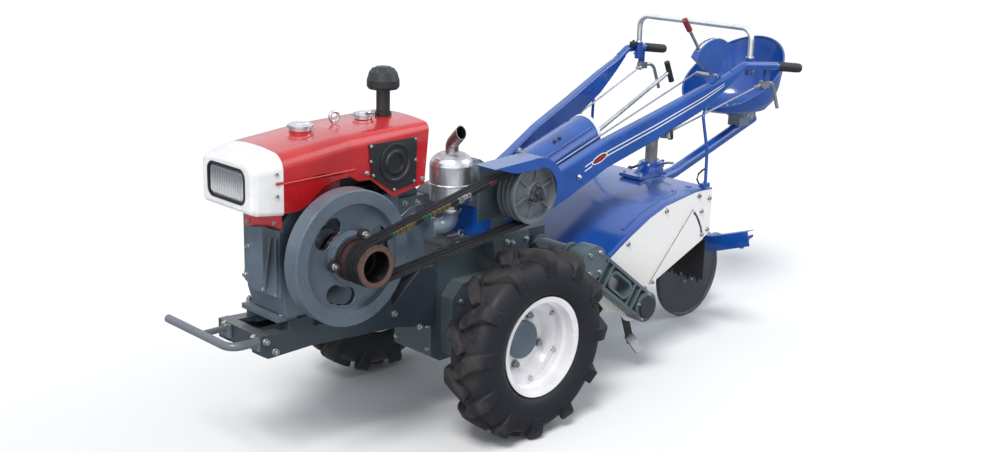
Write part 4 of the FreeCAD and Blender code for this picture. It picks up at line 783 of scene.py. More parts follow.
# Belt guard: a blue pressing over the clutch pulley, with its screws and the shield plate
# that stands behind the belts.
BLUE = (0.0045, 0.066, 0.330)
blue_paint = enamel("blue_paint", BLUE, rough=0.22, coat=0.6, grain=0.00002, grain_scale=300,
                    worn=0.06, chip=(0.30, 0.34, 0.45), dust=0.05, dust_colour=(0.30, 0.36, 0.52))
dress(blue_paint, "belt_guard")
bolts("guard_bolts", [(-30, 308, 936), (-52, 308, 928)], (-0.15, 0, 1), 12, zinc)
hem = Stock().swept(circle(CLUTCH_X, 411, CLUTCH_Z, 116.4, range(80, 188, 6)), 1.7, 8, over=LEFT)
hem.piece("guard_hem", blue_paint, "blue_paint", smooth=70)

# Gearbox and axle housings: grey iron castings bolted through their flanges, with the
# bracket plates over the axle, a filler plug and the drain plug below.
AXLE_Z = 320.0
GEAR_GREY = (0.060, 0.086, 0.102)
gear_grey = enamel("gear_grey", GEAR_GREY, rough=0.44, coat=0.2, grain=0.00035, grain_scale=160,
                   worn=0.45, dust=0.25)
dress(gear_grey, "gearbox", "axle_housings")
bolts("case_flange_bolts", [(x, 103, 592) for x in (-232, -160, -90, -20, 44)], LEFT, 13,
      zinc, both=True)
bolts("final_case_bolts", circle(-20, 150, 335, 112, (40, 100, 150, 215, 265, 320)), LEFT,
      13, zinc, both=True)
bolts("axle_flange_bolts", circle(0, 166, AXLE_Z, 63, range(30, 390, 60)), LEFT, 12, zinc,
      washer=15, both=True)
bolts("bracket_bolts", [(x, 150, z) for x, z in ((-143, 575), (-168, 569), (-236, 572),
                                                 (-120, 540))], LEFT, 15, zinc, stud=5,
      both=True)
bolts("front_cover_bolts", [(150, y, z) for y in (-82, 82) for z in (240, 320, 400, 480, 540)],
      (1, 0, 0), 12, zinc)
bolts("back_plate_pins", [(60, y, z) for y, z in ((60, 826), (76, 812), (60, 742))], AHEAD, 9,
      zinc, stud=14)
plugs = Stock()
plugs.turned([(0, 22), (9, 22), (9, 12), (16, 12), (18, 9), (18, 0), (0, 0)], (-60, -50, 776),
             UP, steps=6)
plugs.turned([(0, 12), (14, 12), (17, 9), (17, -4), (0, -4)], (18, 150, 446), LEFT, steps=20)
plugs.turned([(0, 10), (11, 10), (11, 0), (0, 0)], (-20, 0, 190), (0, 0, -1), steps=6)
plugs.piece("gearbox_plugs", zinc, "bright_steel", smooth=35)

# Tyres: moulded rubber with slanted lugs that run over the shoulder, each rounded at its
# edges. Dust sits on the tread and between the lugs; the side walls stay darker.
TYRE_R, CARCASS_R, TRACK_Y = 319.6, 297.0, 403.0
LUG_COUNT = 12
rubber = Finish("tyre_rubber")
radius = rubber.reach(0, AXLE_Z)
mottle = rubber.noise(16.0, 6)
speck = rubber.noise(230.0, 4)
tread_share = rubber.between(radius + mottle * 0.02, 0.276, 0.318)
dirt = rubber.between(mottle + speck * 0.25, 0.42, 0.78)
side_colour = rubber.mottled(speck, 0.4, 0.7, (0.0105, 0.0115, 0.0165),
                             (0.0165, 0.0175, 0.0245))
tread_colour = rubber.blend(dirt, (0.020, 0.020, 0.025), (0.050, 0.044, 0.043))
wall_rings = ((radius * 900).maths("SINE") > 0.75) * (radius < 0.206)
tyre_black = rubber.done(
    Base_Color=rubber.blend(tread_share * rubber.number(dirt, 0.25, 0.9), side_colour,
                            tread_colour),
    Roughness=rubber.number(dirt * tread_share, 0.50, 0.82), Specular_IOR_Level=0.3,
    Normal=rubber.bump(speck * 0.4 + wall_rings, 0.0005, rubber.soft(0.003)))
# the section from bead to bead, as (radius, offset from the middle plane)
WALL = ((165, 60), (171, 64), (176, 70.5), (186, 76.5), (200, 80), (216, 81.6), (232, 81.2),
        (246, 79), (258, 76), (270, 71.5), (279, 66), (286, 59), (291, 48), (295, 30), (297, 12))
section = [(r, y) for r, y in WALL] + [(r, -y) for r, y in reversed(WALL)]
# one lug's middle line: along the tread, across it, its width and its top radius
LUG = ((-23, 81.5, 40, 268), (-23, 80.5, 46, 284), (-22, 77, 47, 300), (-21, 70, 47, 310.5),
       (-18, 60, 47, 316.5), (-12, 48, 46, 318.6), (-3, 35, 45, 319.3), (8, 22, 43, 319.6),
       (20, 10, 40, 319.6), (31, 0, 35, 319.6), (39, -8, 28, 319.2), (43, -13, 18, 318))


def lug_form(stock, turn, side, centre_y):
    rings = []
    for n, (s, y, width, top) in enumerate(LUG):
        s0, y0 = LUG[max(n - 1, 0)][:2]
        s1, y1 = LUG[min(n + 1, len(LUG) - 1)][:2]
        run = hypot(s1 - s0, y1 - y0)
        cs, cy = -(y1 - y0) / run, (s1 - s0) / run
        foot = min(top - 4, 282 if abs(y) < 60 else 300 - abs(y) * 0.75)
        ring = []
        # columns: share of the half width, drop below the top
        for share, drop in ((-1.12, None), (-1.0, 7), (-0.93, 2.2), (-0.78, 0), (0.78, 0),
                            (0.93, 2.2), (1.0, 7), (1.12, None)):
            off = share * width / 2
            r = foot if drop is None else max(top - drop, foot)
            a = turn + (s + cs * off) / CARCASS_R
            ring.append((r * sin(a), centre_y + side * min(y + cy * off, 81.8),
                         AXLE_Z + r * cos(a)))
        rings.append(ring)
    count = len(rings[0])
    faces = []
    for n in range(len(rings) - 1):
        for k in range(count):
            m = (k + 1) % count
            faces.append([n * count + k, n * count + m, (n + 1) * count + m, (n + 1) * count + k])
    faces += [list(range(count)), [(len(rings) - 1) * count + k for k in reversed(range(count))]]
    stock.put([at(*p) for ring in rings for p in ring], faces)


for name, side in SIDES:
    tyre = Stock()
    tyre.turned(section, (0, side * TRACK_Y, AXLE_Z), steps=96)
    for half in (1, -1):
        for n in range(LUG_COUNT):
            lug_form(tyre, tau / LUG_COUNT * (n + (0.5 if half * side < 0 else 0)), half,
                     side * TRACK_Y)
    made = tyre.piece(name + "_tyre_rubber", tyre_black, "tyre", body=name + "_wheel", smooth=38)
    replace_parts(made, name + "_tyre")

# Wheels: a pressed disc in a rolled rim, both white, on a cast hub whose four large bolts
# and round cover show through the middle; six bolts hold the disc to the rim.
hub_grey = enamel("hub_grey", (0.085, 0.120, 0.150), rough=0.40, coat=0.2, grain=0.00030,
                  grain_scale=170, worn=0.5, dust=0.22)
dark_zinc = plated("dark_zinc", (0.46, 0.46, 0.48), 0.32, (0.30, 0.29, 0.28))
rim_white = enamel("rim_white", (0.76, 0.75, 0.77), rough=0.28, coat=0.45, grain=0.00006,
                   grain_scale=260, worn=0.10, chip=(0.25, 0.24, 0.23), dust=0.03,
                   dust_colour=(0.42, 0.38, 0.33))
dress(rim_white, "left_rim", "right_rim")
dress(hub_grey, "left_hub", "right_hub")
for name, side in SIDES:
    body = name + "_wheel"
    bolts(name + "_hub_bolts", circle(0, side * 372.2, AXLE_Z, 84, (20, 110, 200, 290)),
          (0, side, 0), 20, dark_zinc, body=body, washer=32, stud=8, height=14)
    bolts(name + "_rim_bolts", circle(0, side * 404.4, AXLE_Z, 129, range(24, 384, 60)),
          (0, side, 0), 13, zinc, body=body, washer=17, stud=4)

# Handlebars: tapered box arms in blue enamel with two white stripes and a plain red oval,
# rubber grips on their round ends, and a chromed hoop between them.
dress(blue_paint, "left_arm", "right_arm")
# columns: x, lower z, upper z
ARM = ((-196, 612, 716), (-290, 618, 752), (-428, 685, 806), (-600, 777, 882),
       (-824, 859, 959), (-1040, 948, 1038), (-1160, 1022, 1077))
OVAL_X = -562
LEFT_ARM = BVHTree.FromObject(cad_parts["left_arm"], bpy.context.evaluated_depsgraph_get())


def read_off(table, x):
    # the row that a table has at x, its first column, with the numbers between two rows
    for low, high in zip(table, table[1:]):
        if min(low[0], high[0]) <= x <= max(low[0], high[0]):
            share = (x - low[0]) / (high[0] - low[0])
            return [a + (b - a) * share for a, b in zip(low, high)]
    return table[-1]


def arm_line(x):
    # the middle and the height of the arm's side
    _, low, top = read_off(ARM, x)
    return (low + top) / 2, top - low


def on_arm(x, z, lift):
    # the place on the left arm's outer face, a little off it
    hit = LEFT_ARM.ray_cast(at(x, 420, z), Vector((0, -1, 0)))[0]
    return (x, (hit.y * 1000 if hit else 200) + lift, z)


def stripe(stock, start, end, offset, thick=4.6):
    # a strip of paint along the arm, offset from the middle of its face
    count = max(2, int(abs(end - start) / 14))
    points = []
    for n in range(count + 1):
        x = start + (end - start) * n / count
        middle, height = arm_line(x)
        z = middle + offset * height
        half = thick / 2 * min(1, height / 100)
        points += [at(*on_arm(x, z - half, 0.35)), at(*on_arm(x, z + half, 0.35))]
    stock.put(points, [[2 * n, 2 * n + 1, 2 * n + 3, 2 * n + 2] for n in range(count)])


stripes = Stock()
for offset in (0.125, -0.015):
    stripe(stripes, -498, -530, offset)
    stripe(stripes, -592, -1142, offset - 0.01)
stripe_white = enamel("stripe_white", (0.74, 0.75, 0.78), rough=0.3, coat=0.5, worn=0.15,
                      chip=BLUE, dust=0.05)
stripes.both_sides().piece("arm_stripes", stripe_white, "white_paint", smooth=60)
oval_red = enamel("oval_red", (0.19, 0.010, 0.014), rough=0.3, coat=0.5, worn=0.0, dust=0.02)
slope = atan2(arm_line(OVAL_X - 38)[0] - arm_line(OVAL_X + 38)[0], -76)
oval_z = arm_line(OVAL_X)[0] + 7
for name, wide, tall, lift, material, slot in (
        ("oval_borders", 37, 14.5, 0.7, stripe_white, "white_paint"),
        ("red_ovals", 33, 10.8, 1.1, oval_red, "red_paint")):
    oval = Stock()
    ring = []
    for n in range(40):
        u, v = wide * cos(tau * n / 40), tall * sin(tau * n / 40)
        ring.append(on_arm(OVAL_X + u * cos(slope) - v * sin(slope),
                           oval_z + u * sin(slope) + v * cos(slope), lift))
    ring.append(on_arm(OVAL_X, oval_z, lift + 0.4))
    oval.put([at(*p) for p in ring], [[n, (n + 1) % 40, 40] for n in range(40)])
    oval.both_sides().piece(name, material, slot, smooth=60)
bolts("arm_bolts", [on_arm(-473, 760, 0), on_arm(-317, 640, 0), on_arm(-240, 668, 0)],
      (-0.17, 1, 0), 14, zinc, washer=22, stud=4, both=True)
grip_rubber = Finish("grip_rubber")
grip_black = grip_rubber.done(
    Base_Color=grip_rubber.mottled(grip_rubber.noise(20.0, 4), 0.4, 0.75, (0.012, 0.013, 0.016),
                                   (0.028, 0.028, 0.032)),
    Roughness=0.55,
    Normal=grip_rubber.bump(grip_rubber.noise(340.0, 2), 0.0003, grip_rubber.soft(0.0015)))
dress(grip_black, "hand_grips")
ribs = Stock()
grip_start, grip_end = Vector((-1420, 332, 1096)), Vector((-1556, 341, 1079))
lead = (grip_end - grip_start).normalized()
for n in range(13):
    centre = grip_start + lead * (8 + 9.4 * n)
    ribs.turned([(17.5, -2.4), (18.7, -1.2), (18.7, 1.2), (17.5, 2.4)], tuple(centre), tuple(lead),
                steps=24)
ribs.both_sides().piece("grip_ribs", grip_black, "rubber", smooth=60)
chrome = plated("chrome", (0.94, 0.95, 0.96), 0.12, (0.80, 0.80, 0.82))
dress(chrome, "guard_hoop")
hoop_feet = Stock()
for y in (276.5, -276.5):
    hoop_feet.turned([(11.2, 0), (15.5, 0), (15.5, 4), (13, 6), (11.2, 6)], (-1311, y, 1130),
                     UP, steps=24)
hoop_feet.piece("hoop_ferrules", zinc, "bright_steel")
bolts("hoop_pinch_bolts", [(-1311, 293, 1082)], LEFT, 10, zinc, stud=3, both=True)
switch = Stock()
switch.block((-1290, -288, 1118), (-1262, -268, 1136))
switch.turned([(0, 7), (5, 6), (6, 0), (0, 0)], (-1276, -278, 1136), UP, steps=14)
switch.piece("control_block", moulded_black, "black_plastic", bevel=3)

# Shift console between the arms: a blue arched pressing with a bright rim at its open rear
# end, a pressed step along each side and two black screws on top.
dress(blue_paint, "shift_console")
CONSOLE_SLOPE = 0.342


def arch_point(x, share, grow=0.0):
    # round the console's section, share 0 on the right foot and 1 on the left one
    rise = (-255.3 - x) * CONSOLE_SLOPE
    half, spring, top = 84 + grow, 726 + rise, 790 + rise + grow
    radius = (half ** 2 + (top - spring) ** 2) / (2 * (top - spring))
    turn = asin(half / radius) * (2 * share - 1)
    return (x, radius * sin(turn), top - radius + radius * cos(turn))


rim_strip = Stock()
points, faces = [], []
for x, grow in ((-668, 0.4), (-668, 2.6), (-681.5, 2.6), (-681.5, 0.4)):
    points += [at(*arch_point(x, n / 24, grow)) for n in range(25)]
for row in range(4):
    a, b = row * 25, (row + 1) % 4 * 25
    faces += [[a + n, a + n + 1, b + n + 1, b + n] for n in range(24)]
faces += [[0, 25, 50, 75], [24, 49, 74, 99]]
rim_strip.put(points, faces)
rim_strip.piece("console_rim", stripe_white, "white_paint")
steps_on = Stock()
for share in (0.20, 0.80):
    steps_on.swept([arch_point(x, share, -1.0) for x in (*range(-300, -601, -60), -650)], 4.5, 10,
                   wide=1.6)
steps_on.piece("console_steps", blue_paint, "blue_paint", smooth=75)
bolts("console_screws", [(-487, 34, 861.5), (-512, 34, 870)], (0.30, 0.28, 0.9), 12, black_iron,
      height=9)

# Levers: a plated shift rod with a moulded T-handle, a clutch lever with a red grip in its
# slotted quadrant, and the steering levers with their thin rods.
LEVER_X, LEVER_Z = -1109.0, 1076.0
lever = Finish("lever_steel")
run = ((lever.axis("X") - (AXLE_X - 687) / 1000) * -0.9076
       + (lever.axis("Z") - 0.856) * 0.4200)
handle = (run > 0.4755).maths("MAXIMUM", run < 0.023)
smear = lever.noise(42.0, 4)
rod = lever.mottled(smear, 0.45, 0.75, (0.62, 0.63, 0.65), (0.42, 0.41, 0.38))
dress(lever.done(
    Base_Color=lever.blend(handle, rod, (0.016, 0.017, 0.020)),
    Metallic=lever.number(handle, 0.92, 0.0),
    Roughness=lever.between(handle + smear * 0.3, 0.0, 1.2, 0.24, 0.50),
    Normal=lever.bump(lever.noise(300.0, 2), 0.00008)), "shift_lever")
clutch = Finish("clutch_lever_steel")
gripped = clutch.reach(LEVER_X, LEVER_Z) > 0.2345
stain = clutch.mottled(clutch.noise(42.0, 4), 0.45, 0.75, (0.46, 0.46, 0.48), (0.30, 0.29, 0.27))
dress(clutch.done(
    Base_Color=clutch.blend(gripped, stain, (0.21, 0.010, 0.018)),
    Metallic=clutch.number(gripped, 0.9, 0.0), Roughness=clutch.number(gripped, 0.30, 0.36),
    Coat_Weight=clutch.number(gripped, 0.0, 0.4)), "clutch_lever")
dress(blue_paint, "lever_quadrant")
slot_edges = Stock()
for y in (241.5, 258.5):
    slot_edges.swept(circle(LEVER_X, y, LEVER_Z, 140.8, range(44, 122, 5)), 1.5, 8, wide=1.8,
                     over=LEFT)
slot_edges.piece("quadrant_slot_edges", zinc, "bright_steel", smooth=70)
bolts("quadrant_bolts", [(LEVER_X, 265.4, LEVER_Z)], LEFT, 15, zinc, stud=4)
steering_steel = plated("steering_steel", (0.48, 0.49, 0.51), 0.32, (0.33, 0.32, 0.30))
dress(steering_steel, "steering_levers", "steering_rods", "clutch_rod")
clevis = Stock()
for x, y, z in ((-1342, 296.7, 1017.4), (-900, 229, 884)):
    clevis.turned([(0, 14), (5.5, 14), (5.5, -14), (0, -14)], (x, y, z), (-0.955, -0.145, -0.27),
                  steps=12)
    clevis.turned([(0, 9), (4, 9), (4, -9), (0, -9)], (x, y, z), LEFT, steps=10)
clevis.turned([(0, 16), (9, 16), (10, 12), (10, -10), (0, -10)], (-886, 241, 872), UP,
              steps=16)
clevis.both_sides().piece("rod_clevises", steering_steel, "bright_steel")
boots = Stock().turned(
    [(0, 17), (8, 17), (11, 13), (11, -15), (8, -19), (0, -19)], (-889, 243, 876),
    (0.1, 0, 1), steps=18)
boots.both_sides().piece("crank_boots", grip_black, "rubber")

# Tiller drive: a cross tube with a ribbed chain case on the left, whose window and cap the
# casting leaves open to view, and a plain arm on the right; the tines are forged and worn.
ROTOR_X, ROTOR_Z = -650.0, 287.0
CHAIN_CASE_Y = 368.0
case = Finish("chain_case_grey")
soft = case.soft(0.0016)
broad = case.noise(6.0, 3)
cap = (case.reach(ROTOR_X, ROTOR_Z) < 0.0405) * (case.axis("Y") > 0.3655)
chips = case.between(case.edge(soft) * 2.2 + case.noise(85.0, 4), 0.88, 0.97)
shade = case.mottled(broad, 0.3, 0.7, (0.062, 0.092, 0.104), (0.086, 0.122, 0.136))
shade = case.blend(chips * 0.8, shade, (0.20, 0.23, 0.24))
dress(case.done(Base_Color=case.blend(cap, shade, (0.020, 0.023, 0.036)),
                Roughness=case.between(broad, 0.3, 0.7, 0.40, 0.52), Coat_Weight=0.2,
                Normal=case.bump(case.noise(170.0, 2), 0.0004, soft)), "chain_case")
dress(gear_grey, "cross_tube", "rotor_side_arm")
bolts("rotor_cap_bolts", circle(ROTOR_X, CHAIN_CASE_Y, ROTOR_Z, 47, (24, 104, 204, 300)), LEFT, 9,
      zinc)
bolts("chain_case_bolts", [(x, CHAIN_CASE_Y + 8, z) for x, z in (
    (-371, 548), (-318, 548), (-318, 480), (-372, 478))], LEFT, 12, zinc)
tube_collar = Stock()
for y, r, wide in ((258, 48, 16), (110, 44, 12)):
    tube_collar.turned([(36.2, 0), (r, 0), (r, wide), (36.2, wide)], (-345, y, 515), steps=36)
tube_collar.both_sides().piece("cross_tube_collars", gear_grey, "grey_casting", bevel=1.2)
forged = Finish("forged_tines")
tine_reach = forged.reach(ROTOR_X, ROTOR_Z)
scale_marks = forged.noise(36.0, 5)
polish = forged.between(tine_reach + scale_marks * 0.05, 0.175, 0.225)
scaled = forged.mottled(scale_marks, 0.45, 0.7, (0.018, 0.020, 0.026), (0.040, 0.036, 0.034))
dress(forged.done(Base_Color=forged.blend(polish, scaled, (0.33, 0.33, 0.34)),
                  Metallic=forged.number(polish, 0.3, 0.9),
                  Roughness=forged.between(scale_marks, 0.3, 0.7, 0.36, 0.58),
                  Normal=forged.bump(scale_marks, 0.0012)), "tiller_rotor")
tine_places = []
for n in range(9):
    tine_places += circle(ROTOR_X, 62 * n - 244, ROTOR_Z, 48, (90 - 70 * n, -90 - 70 * n))
bolts("tine_bolts", tine_places, LEFT, 13, dark_zinc, body="rotor", stud=4)

# Tiller cover: a curved blue sheet with pressed ribs, white side panels bolted to it, each
# with a slotted plate, two rubber flaps behind, and rods that hold it up to the arms.
dress(blue_paint, "tiller_cover", "cover_stays")
curve = bpy.data.node_groups.new("shaded_as_one_curve", "GeometryNodeTree")
for way in ("INPUT", "OUTPUT"):
    curve.interface.new_socket("Geometry", in_out=way, socket_type="NodeSocketGeometry")
form = add_node(curve, "NodeGroupInput")[0]
form = add_node(curve, "GeometryNodeMergeByDistance", {}, {0: form, "Distance": 0.00002})[0]
form = add_node(curve, "GeometryNodeRemoveAttribute", {}, {0: form, "Name": "custom_normal"})[0]
form = add_node(curve, "GeometryNodeSetShadeSmooth", {}, {0: form})[0]
bend = add_node(curve, "GeometryNodeInputMeshEdgeAngle")[0]
square = add_node(curve, "FunctionNodeCompare", {}, {"A": bend, "B": radians(32)})[0]
form = add_node(curve, "GeometryNodeSetShadeSmooth", {"domain": "EDGE"},
                {0: form, "Selection": square, "Shade Smooth": False})[0]
add_node(curve, "NodeGroupOutput", {}, {0: form})
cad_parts["tiller_cover"].modifiers.new("curve", "NODES").node_group = curve
PANEL_Y = 300.0
COVER_TOP = ((-470, 430), (-500, 476), (-613, 540), (-726, 596), (-820, 628), (-936, 646),
             (-1000, 655), (-1096, 653))


def on_cover(y, *stations):
    return [(x, y, read_off(COVER_TOP, x)[1]) for x in stations]


rib = Stock()
rib.swept(on_cover(246, -640, -690, -740, -800, -860, -910) + on_cover(244, -935)
          + on_cover(236, -948) + on_cover(222, -953), 4.2, 10, wide=1.9)
rib.swept(on_cover(288, -520, -613, -726, -820, -936, -1060), 2.6, 8, wide=2.2)
rib.block((-1040, 226, 650), (-1022, 244, 657.5))
rib.both_sides().piece("cover_ribs", blue_paint, "blue_paint", smooth=75)
bolts("cover_top_bolts", [(x, y, 668) for x in (-1070, -978) for y in (-40, 40)], UP, 12,
      zinc, stud=3)
panel = Finish("panel_white")
dirt = panel.noise(7.0, 5)
low_dirt = panel.between(panel.axis("Z") + dirt * 0.12, 0.36, 0.56, 1.0, 0.0)
dirt_share = low_dirt * 0.30 + panel.between(dirt, 0.55, 0.85) * 0.10
panel_paint = panel.done(
    Base_Color=panel.blend(dirt_share, (0.78, 0.765, 0.755), (0.50, 0.44, 0.38)),
    Roughness=panel.between(dirt, 0.3, 0.7, 0.26, 0.38), Coat_Weight=0.4,
    Normal=panel.bump(panel.noise(280.0, 2), 0.00005, panel.soft(0.0014)))
dress(panel_paint, "side_panels")
# a ring closes the panel round the rotor's shaft
shaft_ring = Stock().turned(
    [(r, PANEL_Y + out) for r, out in ((29, 0.3), (70, 0.3), (70, 1.8), (29, 1.8), (29, 0.3))],
    (ROTOR_X, 0, ROTOR_Z), steps=48)
shaft_ring.both_sides().piece("shaft_rings", panel_paint, "white_paint", smooth=30)
# painted shade: a black strip where the plate's slot is, and a dark painted shadow line along its
# sloping edge
slot_shade = Stock()
SLOT = ((-984, 575), (-1001, 559), (-1015, 540), (-1027, 520), (-1037, 499), (-1044, 478))
row = []
for n, (x, z) in enumerate(SLOT):
    (x0, z0), (x1, z1) = SLOT[max(n - 1, 0)], SLOT[min(n + 1, len(SLOT) - 1)]
    run = hypot(x1 - x0, z1 - z0)
    across_x, across_z = (z1 - z0) / run * 4.2, -(x1 - x0) / run * 4.2
    row += [at(x - across_x, PANEL_Y + 4.35, z - across_z),
            at(x + across_x, PANEL_Y + 4.35, z + across_z)]
slot_shade.put(row, [[2 * n, 2 * n + 1, 2 * n + 3, 2 * n + 2] for n in range(len(SLOT) - 1)])
slot_shade.swept([(x, PANEL_Y + 4.2, z) for x, z in ((-978, 588), (-858, 466), (-738, 344))], 1.3, 8)
slot_shade.both_sides().piece("panel_slot_shade", black_iron, "dark_steel")
bolts("panel_bolts", [(x, PANEL_Y, z) for x, z in (
    (-609, 517), (-1014, 633), (-1079, 615), (-1034, 571), (-820, 606), (-510, 420),
    (-717, 329), (-1078, 492))], LEFT, 12, dark_zinc, washer=18, both=True)
bolts("slot_nuts", [(-1041, PANEL_Y + 3.6, 478), (-757, PANEL_Y + 3.6, 344)], LEFT, 11,
      dark_zinc, stud=4, both=True)
flap = Finish("flap_rubber")
crease = flap.noise(11.0, 4)
flap_black = flap.done(
    Base_Color=flap.mottled(crease, 0.4, 0.8, (0.0075, 0.0075, 0.009), (0.022, 0.019, 0.018)),
    Roughness=0.55, Normal=flap.bump(crease, 0.004))
FLAP_TOP, FLAP_FOOT, FLAP_IN, FLAP_OUT, FLAP_THICK = 648.8, 272.0, 43.0, 289.5, 2.6
columns, rows = 40, 16
tall = rows + 1
layer = (columns + 1) * tall
for name, side in SIDES:
    # the free edge is torn into shallow teeth and bellies backwards a little
    curtain = Stock()
    points, faces = [], []
    for back in (0, FLAP_THICK):
        for c in range(columns + 1):
            y = FLAP_IN + (FLAP_OUT - FLAP_IN) * c / columns
            tooth = abs((c * 5 / columns) % 1 - 0.5) * 2
            low = FLAP_FOOT + 17 * tooth + 9 * sin(c * 1.7)
            for r in range(tall):
                t = r / rows
                x = -1086.6 - back - 0.6 * sin(y / 21 + t * 3) * t
                points.append(at(x, side * y, FLAP_TOP + (low - FLAP_TOP) * t))
    for a in (c * tall + r for c in range(columns) for r in range(rows)):
        front = [a, a + 1, a + tall + 1, a + tall]
        faces += [front, [layer + n for n in reversed(front)]]
    ring = ([c * tall for c in range(columns)] + [columns * tall + r for r in range(rows)]
            + [c * tall + rows for c in range(columns, 0, -1)] + list(range(rows, 0, -1)))
    faces += [[a, b, layer + b, layer + a] for a, b in zip(ring, ring[1:] + ring[:1])]
    curtain.put(points, faces)
    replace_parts(curtain.piece(name + "_flap_sheet", flap_black, "rubber", smooth=60),
                "rear_flaps")
bolts("flap_bolts", [(-1084, y, 640) for y in (70, 160, 250)], AHEAD, 9, zinc, both=True)
hook = Stock().swept(
    [(-1052, 268, 668), (-1046, 262, 686), (-1050, 264, 706), (-1060, 274, 722),
     (-1068, 286, 730)], 3.6, 10, wide=1.7)
hook.both_sides().piece("stay_hooks", black_iron, "dark_steel", smooth=70)
bolts("stay_foot_bolts", [(-1066, 285, 674)], UP, 11, zinc, both=True)

# Tail wheel: a blue clamp with two bent clamp levers, a grey post that turns in it, and a
# pressed steel wheel between the legs of the fork; the foot plates are blue.
POST_X = -1088.0
TAIL_X, TAIL_Z = -1375.0, 195.0
dress(blue_paint, "tail_clamp", "seat_beam", "seat_pan")
post = Finish("post_and_fork")
post_x = post.axis("X") - (AXLE_X + POST_X) / 1000
post_y = post.axis("Y")
bare = ((post_x * post_x + post_y * post_y) < 0.0009) * (post.axis("Z") > 0.60)
cloud = post.noise(24.0, 5)
post_blue = post.mottled(cloud, 0.35, 0.7, BLUE, [c * 1.25 for c in BLUE])
post_grey = post.mottled(cloud, 0.35, 0.7, (0.15, 0.155, 0.15), (0.26, 0.26, 0.25))
dress(post.done(Base_Color=post.blend(bare, post_blue, post_grey),
                Metallic=post.number(bare, 0.0, 0.5),
                Roughness=post.between(cloud + bare, 0.3, 1.7, 0.26, 0.48),
                Coat_Weight=post.number(bare, 0.5, 0.0),
                Normal=post.bump(post.noise(240.0, 2), 0.0001, post.soft(0.0014))),
      "tail_fork")
handles = Stock()
handles.swept([(-1122, -18, 691), (-1121, -60, 684), (-1120, -96, 664), (-1120, -126, 650)], 5, 12)
handles.turned([(0, 9), (7, 8), (9.5, 3), (9.5, -3), (7, -8), (0, -9)], (-1120, -131, 649),
               (0, -0.9, -0.4), steps=16)
handles.piece("clamp_lever_left", black_iron, "dark_steel", smooth=60)
screw = Stock()
screw.swept([(-1122, 18, 691), (-1121, 44, 700), (-1120, 62, 706), (-1118, 86, 708)], 5, 12,
            wide=1.5)
screw.turned([(0, 12), (8, 12), (10, 9), (10, -4), (0, -4)], (-1122, 22, 691), LEFT, steps=12)
screw.piece("clamp_lever_right", zinc, "bright_steel", smooth=60)
across, ahead = sin(0.5), cos(0.5)
bolts("clamp_bolts", [(POST_X + 47 * ahead, 47 * across, 697)], (ahead, across, 0), 9, zinc,
      both=True)
skirt = Stock().turned(
    [(38.4, 0), (52, 3), (52, 12), (42, 40), (38.4, 40)], (POST_X, 0, 662), UP, steps=40)
skirt.piece("clamp_skirt", blue_paint, "blue_paint", smooth=35)
steel_wheel = enamel("wheel_steel", (0.040, 0.045, 0.058), rough=0.40, coat=0.1, grain=0.0002,
                     grain_scale=150, worn=0.6, chip=(0.20, 0.19, 0.18), dust=0.25)
dress(steel_wheel, "tail_wheel")
bolts("tail_wheel_bolts", circle(TAIL_X, 3.2, TAIL_Z, 48, range(0, 360, 60)), LEFT, 11,
      dark_zinc, body="tail_wheel_body", both=True)
bolts("fork_pin_nuts", [(TAIL_X, 46, TAIL_Z)], LEFT, 17, zinc, body="tail_steering",
      stud=3, both=True)
treads = Stock()
for s in (1, -1):
    for n in range(7):
        y = s * (182 + 20 * n)
        treads.block((-1318, min(y, y + s * 7), 408), (-1252, max(y, y + s * 7), 409.6))
    # the apron in front, and the end that rises outwards
    treads.slab([(-1247, s * y, z) for y, z in ((62, 352), (213, 350), (388, 412), (374, 468),
                                                (208, 412), (62, 410))], (3, 0, 0))
    treads.slab([(-1247, s * 206, 410), (-1247, s * 374, 467), (-1288, s * 374, 467),
                 (-1288, s * 206, 410)], (0, 0, 2.6))
treads.piece("foot_plate_ribs", blue_paint, "blue_paint", body="tail_steering", bevel=0.6)

# Seat: a deep blue pan with its edge rolled inwards, on a grey pivot casting with two coil
# springs, bolted to the tube that runs back from the clamp.
SEAT_X, SEAT_Z = -1575.0, 862.0
dress(cast_light, "seat_bracket")
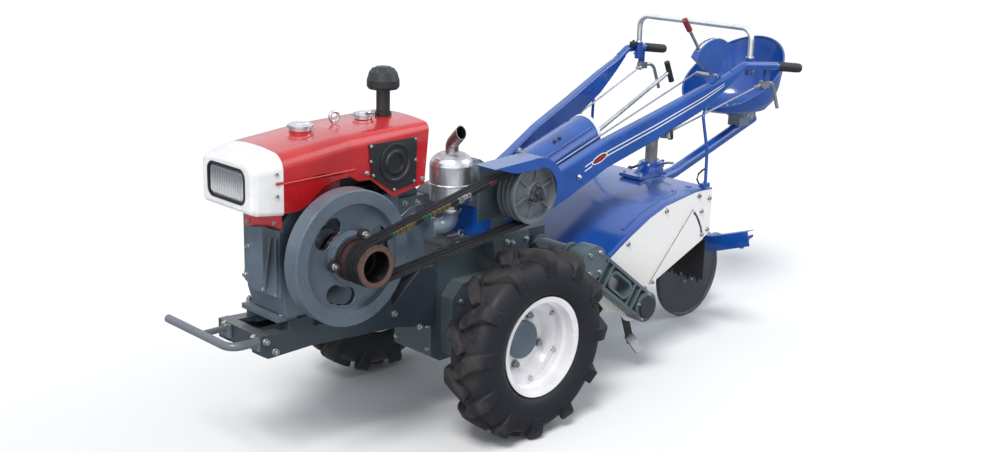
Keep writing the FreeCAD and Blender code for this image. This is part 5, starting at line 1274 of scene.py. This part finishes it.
# the pan's wall, as (height, radius); its rim climbs from the lip to the back
PAN = ((0, 118), (14, 158), (50, 188), (110, 206), (190, 218), (312, 225))
SEAT_STEPS, SEAT_ROWS = 72, 12
columns, edge_line = [], []
for n in range(SEAT_STEPS):
    turn = tau * n / SEAT_STEPS
    rim = 30 + 262 * ((1 - cos(turn)) / 2) ** 1.3
    heights = [rim * k / SEAT_ROWS for k in range(SEAT_ROWS + 1)]
    column = [(0, 40), (0, 85)] + [(h, read_off(PAN, h)[1]) for h in heights]
    columns.append([at(SEAT_X + r * cos(turn), r * sin(turn), SEAT_Z + h)
                    for h, r in column])
    r = column[-1][1] - 4.2
    edge_line.append((SEAT_X + r * cos(turn), r * sin(turn), SEAT_Z + rim - 3.2))
tall = SEAT_ROWS + 3
points = [p for column in columns for p in column] + [at(SEAT_X, 0, SEAT_Z)]
faces = []
for n in range(SEAT_STEPS):
    a, b = n * tall, (n + 1) % SEAT_STEPS * tall
    faces += [[a + k, a + k + 1, b + k + 1, b + k] for k in range(tall - 1)]
    faces.append([SEAT_STEPS * tall, a, b])
shell = formed("seat_shell", points, faces)
sheet_metal = shell.modifiers.new("sheet_metal", "SOLIDIFY")
sheet_metal.thickness = 0.003
sheet_metal.offset = 1
settled(shell, blue_paint, "machine", 60)
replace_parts(shell, "seat_pan")
rolled = Stock().swept(edge_line, 4.0, 10, closed=True)
rolled.piece("seat_rolled_edge", blue_paint, "blue_paint", smooth=75)
bolts("seat_bolts", [(SEAT_X - back, y, SEAT_Z + 3) for back in (45, 95) for y in (-30, 30)],
      UP, 13, zinc, washer=24)
bolts("seat_back_bolt", [(-1786, -112, 1038)], (0.87, 0.47, 0.05), 11, zinc)
coils = Stock()
for y in (14.85, -14.85):
    path = []
    for n in range(73):
        turn = tau * n / 12
        path.append((-1722 + 11 * cos(turn), y + 11 * sin(turn), 812 + 40 * n / 72))
    coils.swept(path, 2.6, 8)
coils.piece("seat_springs", dark_zinc, "dark_steel", smooth=70)
bolts("seat_pivot_nuts", [(-1650, 44, 840)], LEFT, 20, zinc, stud=4, both=True)

low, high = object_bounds()
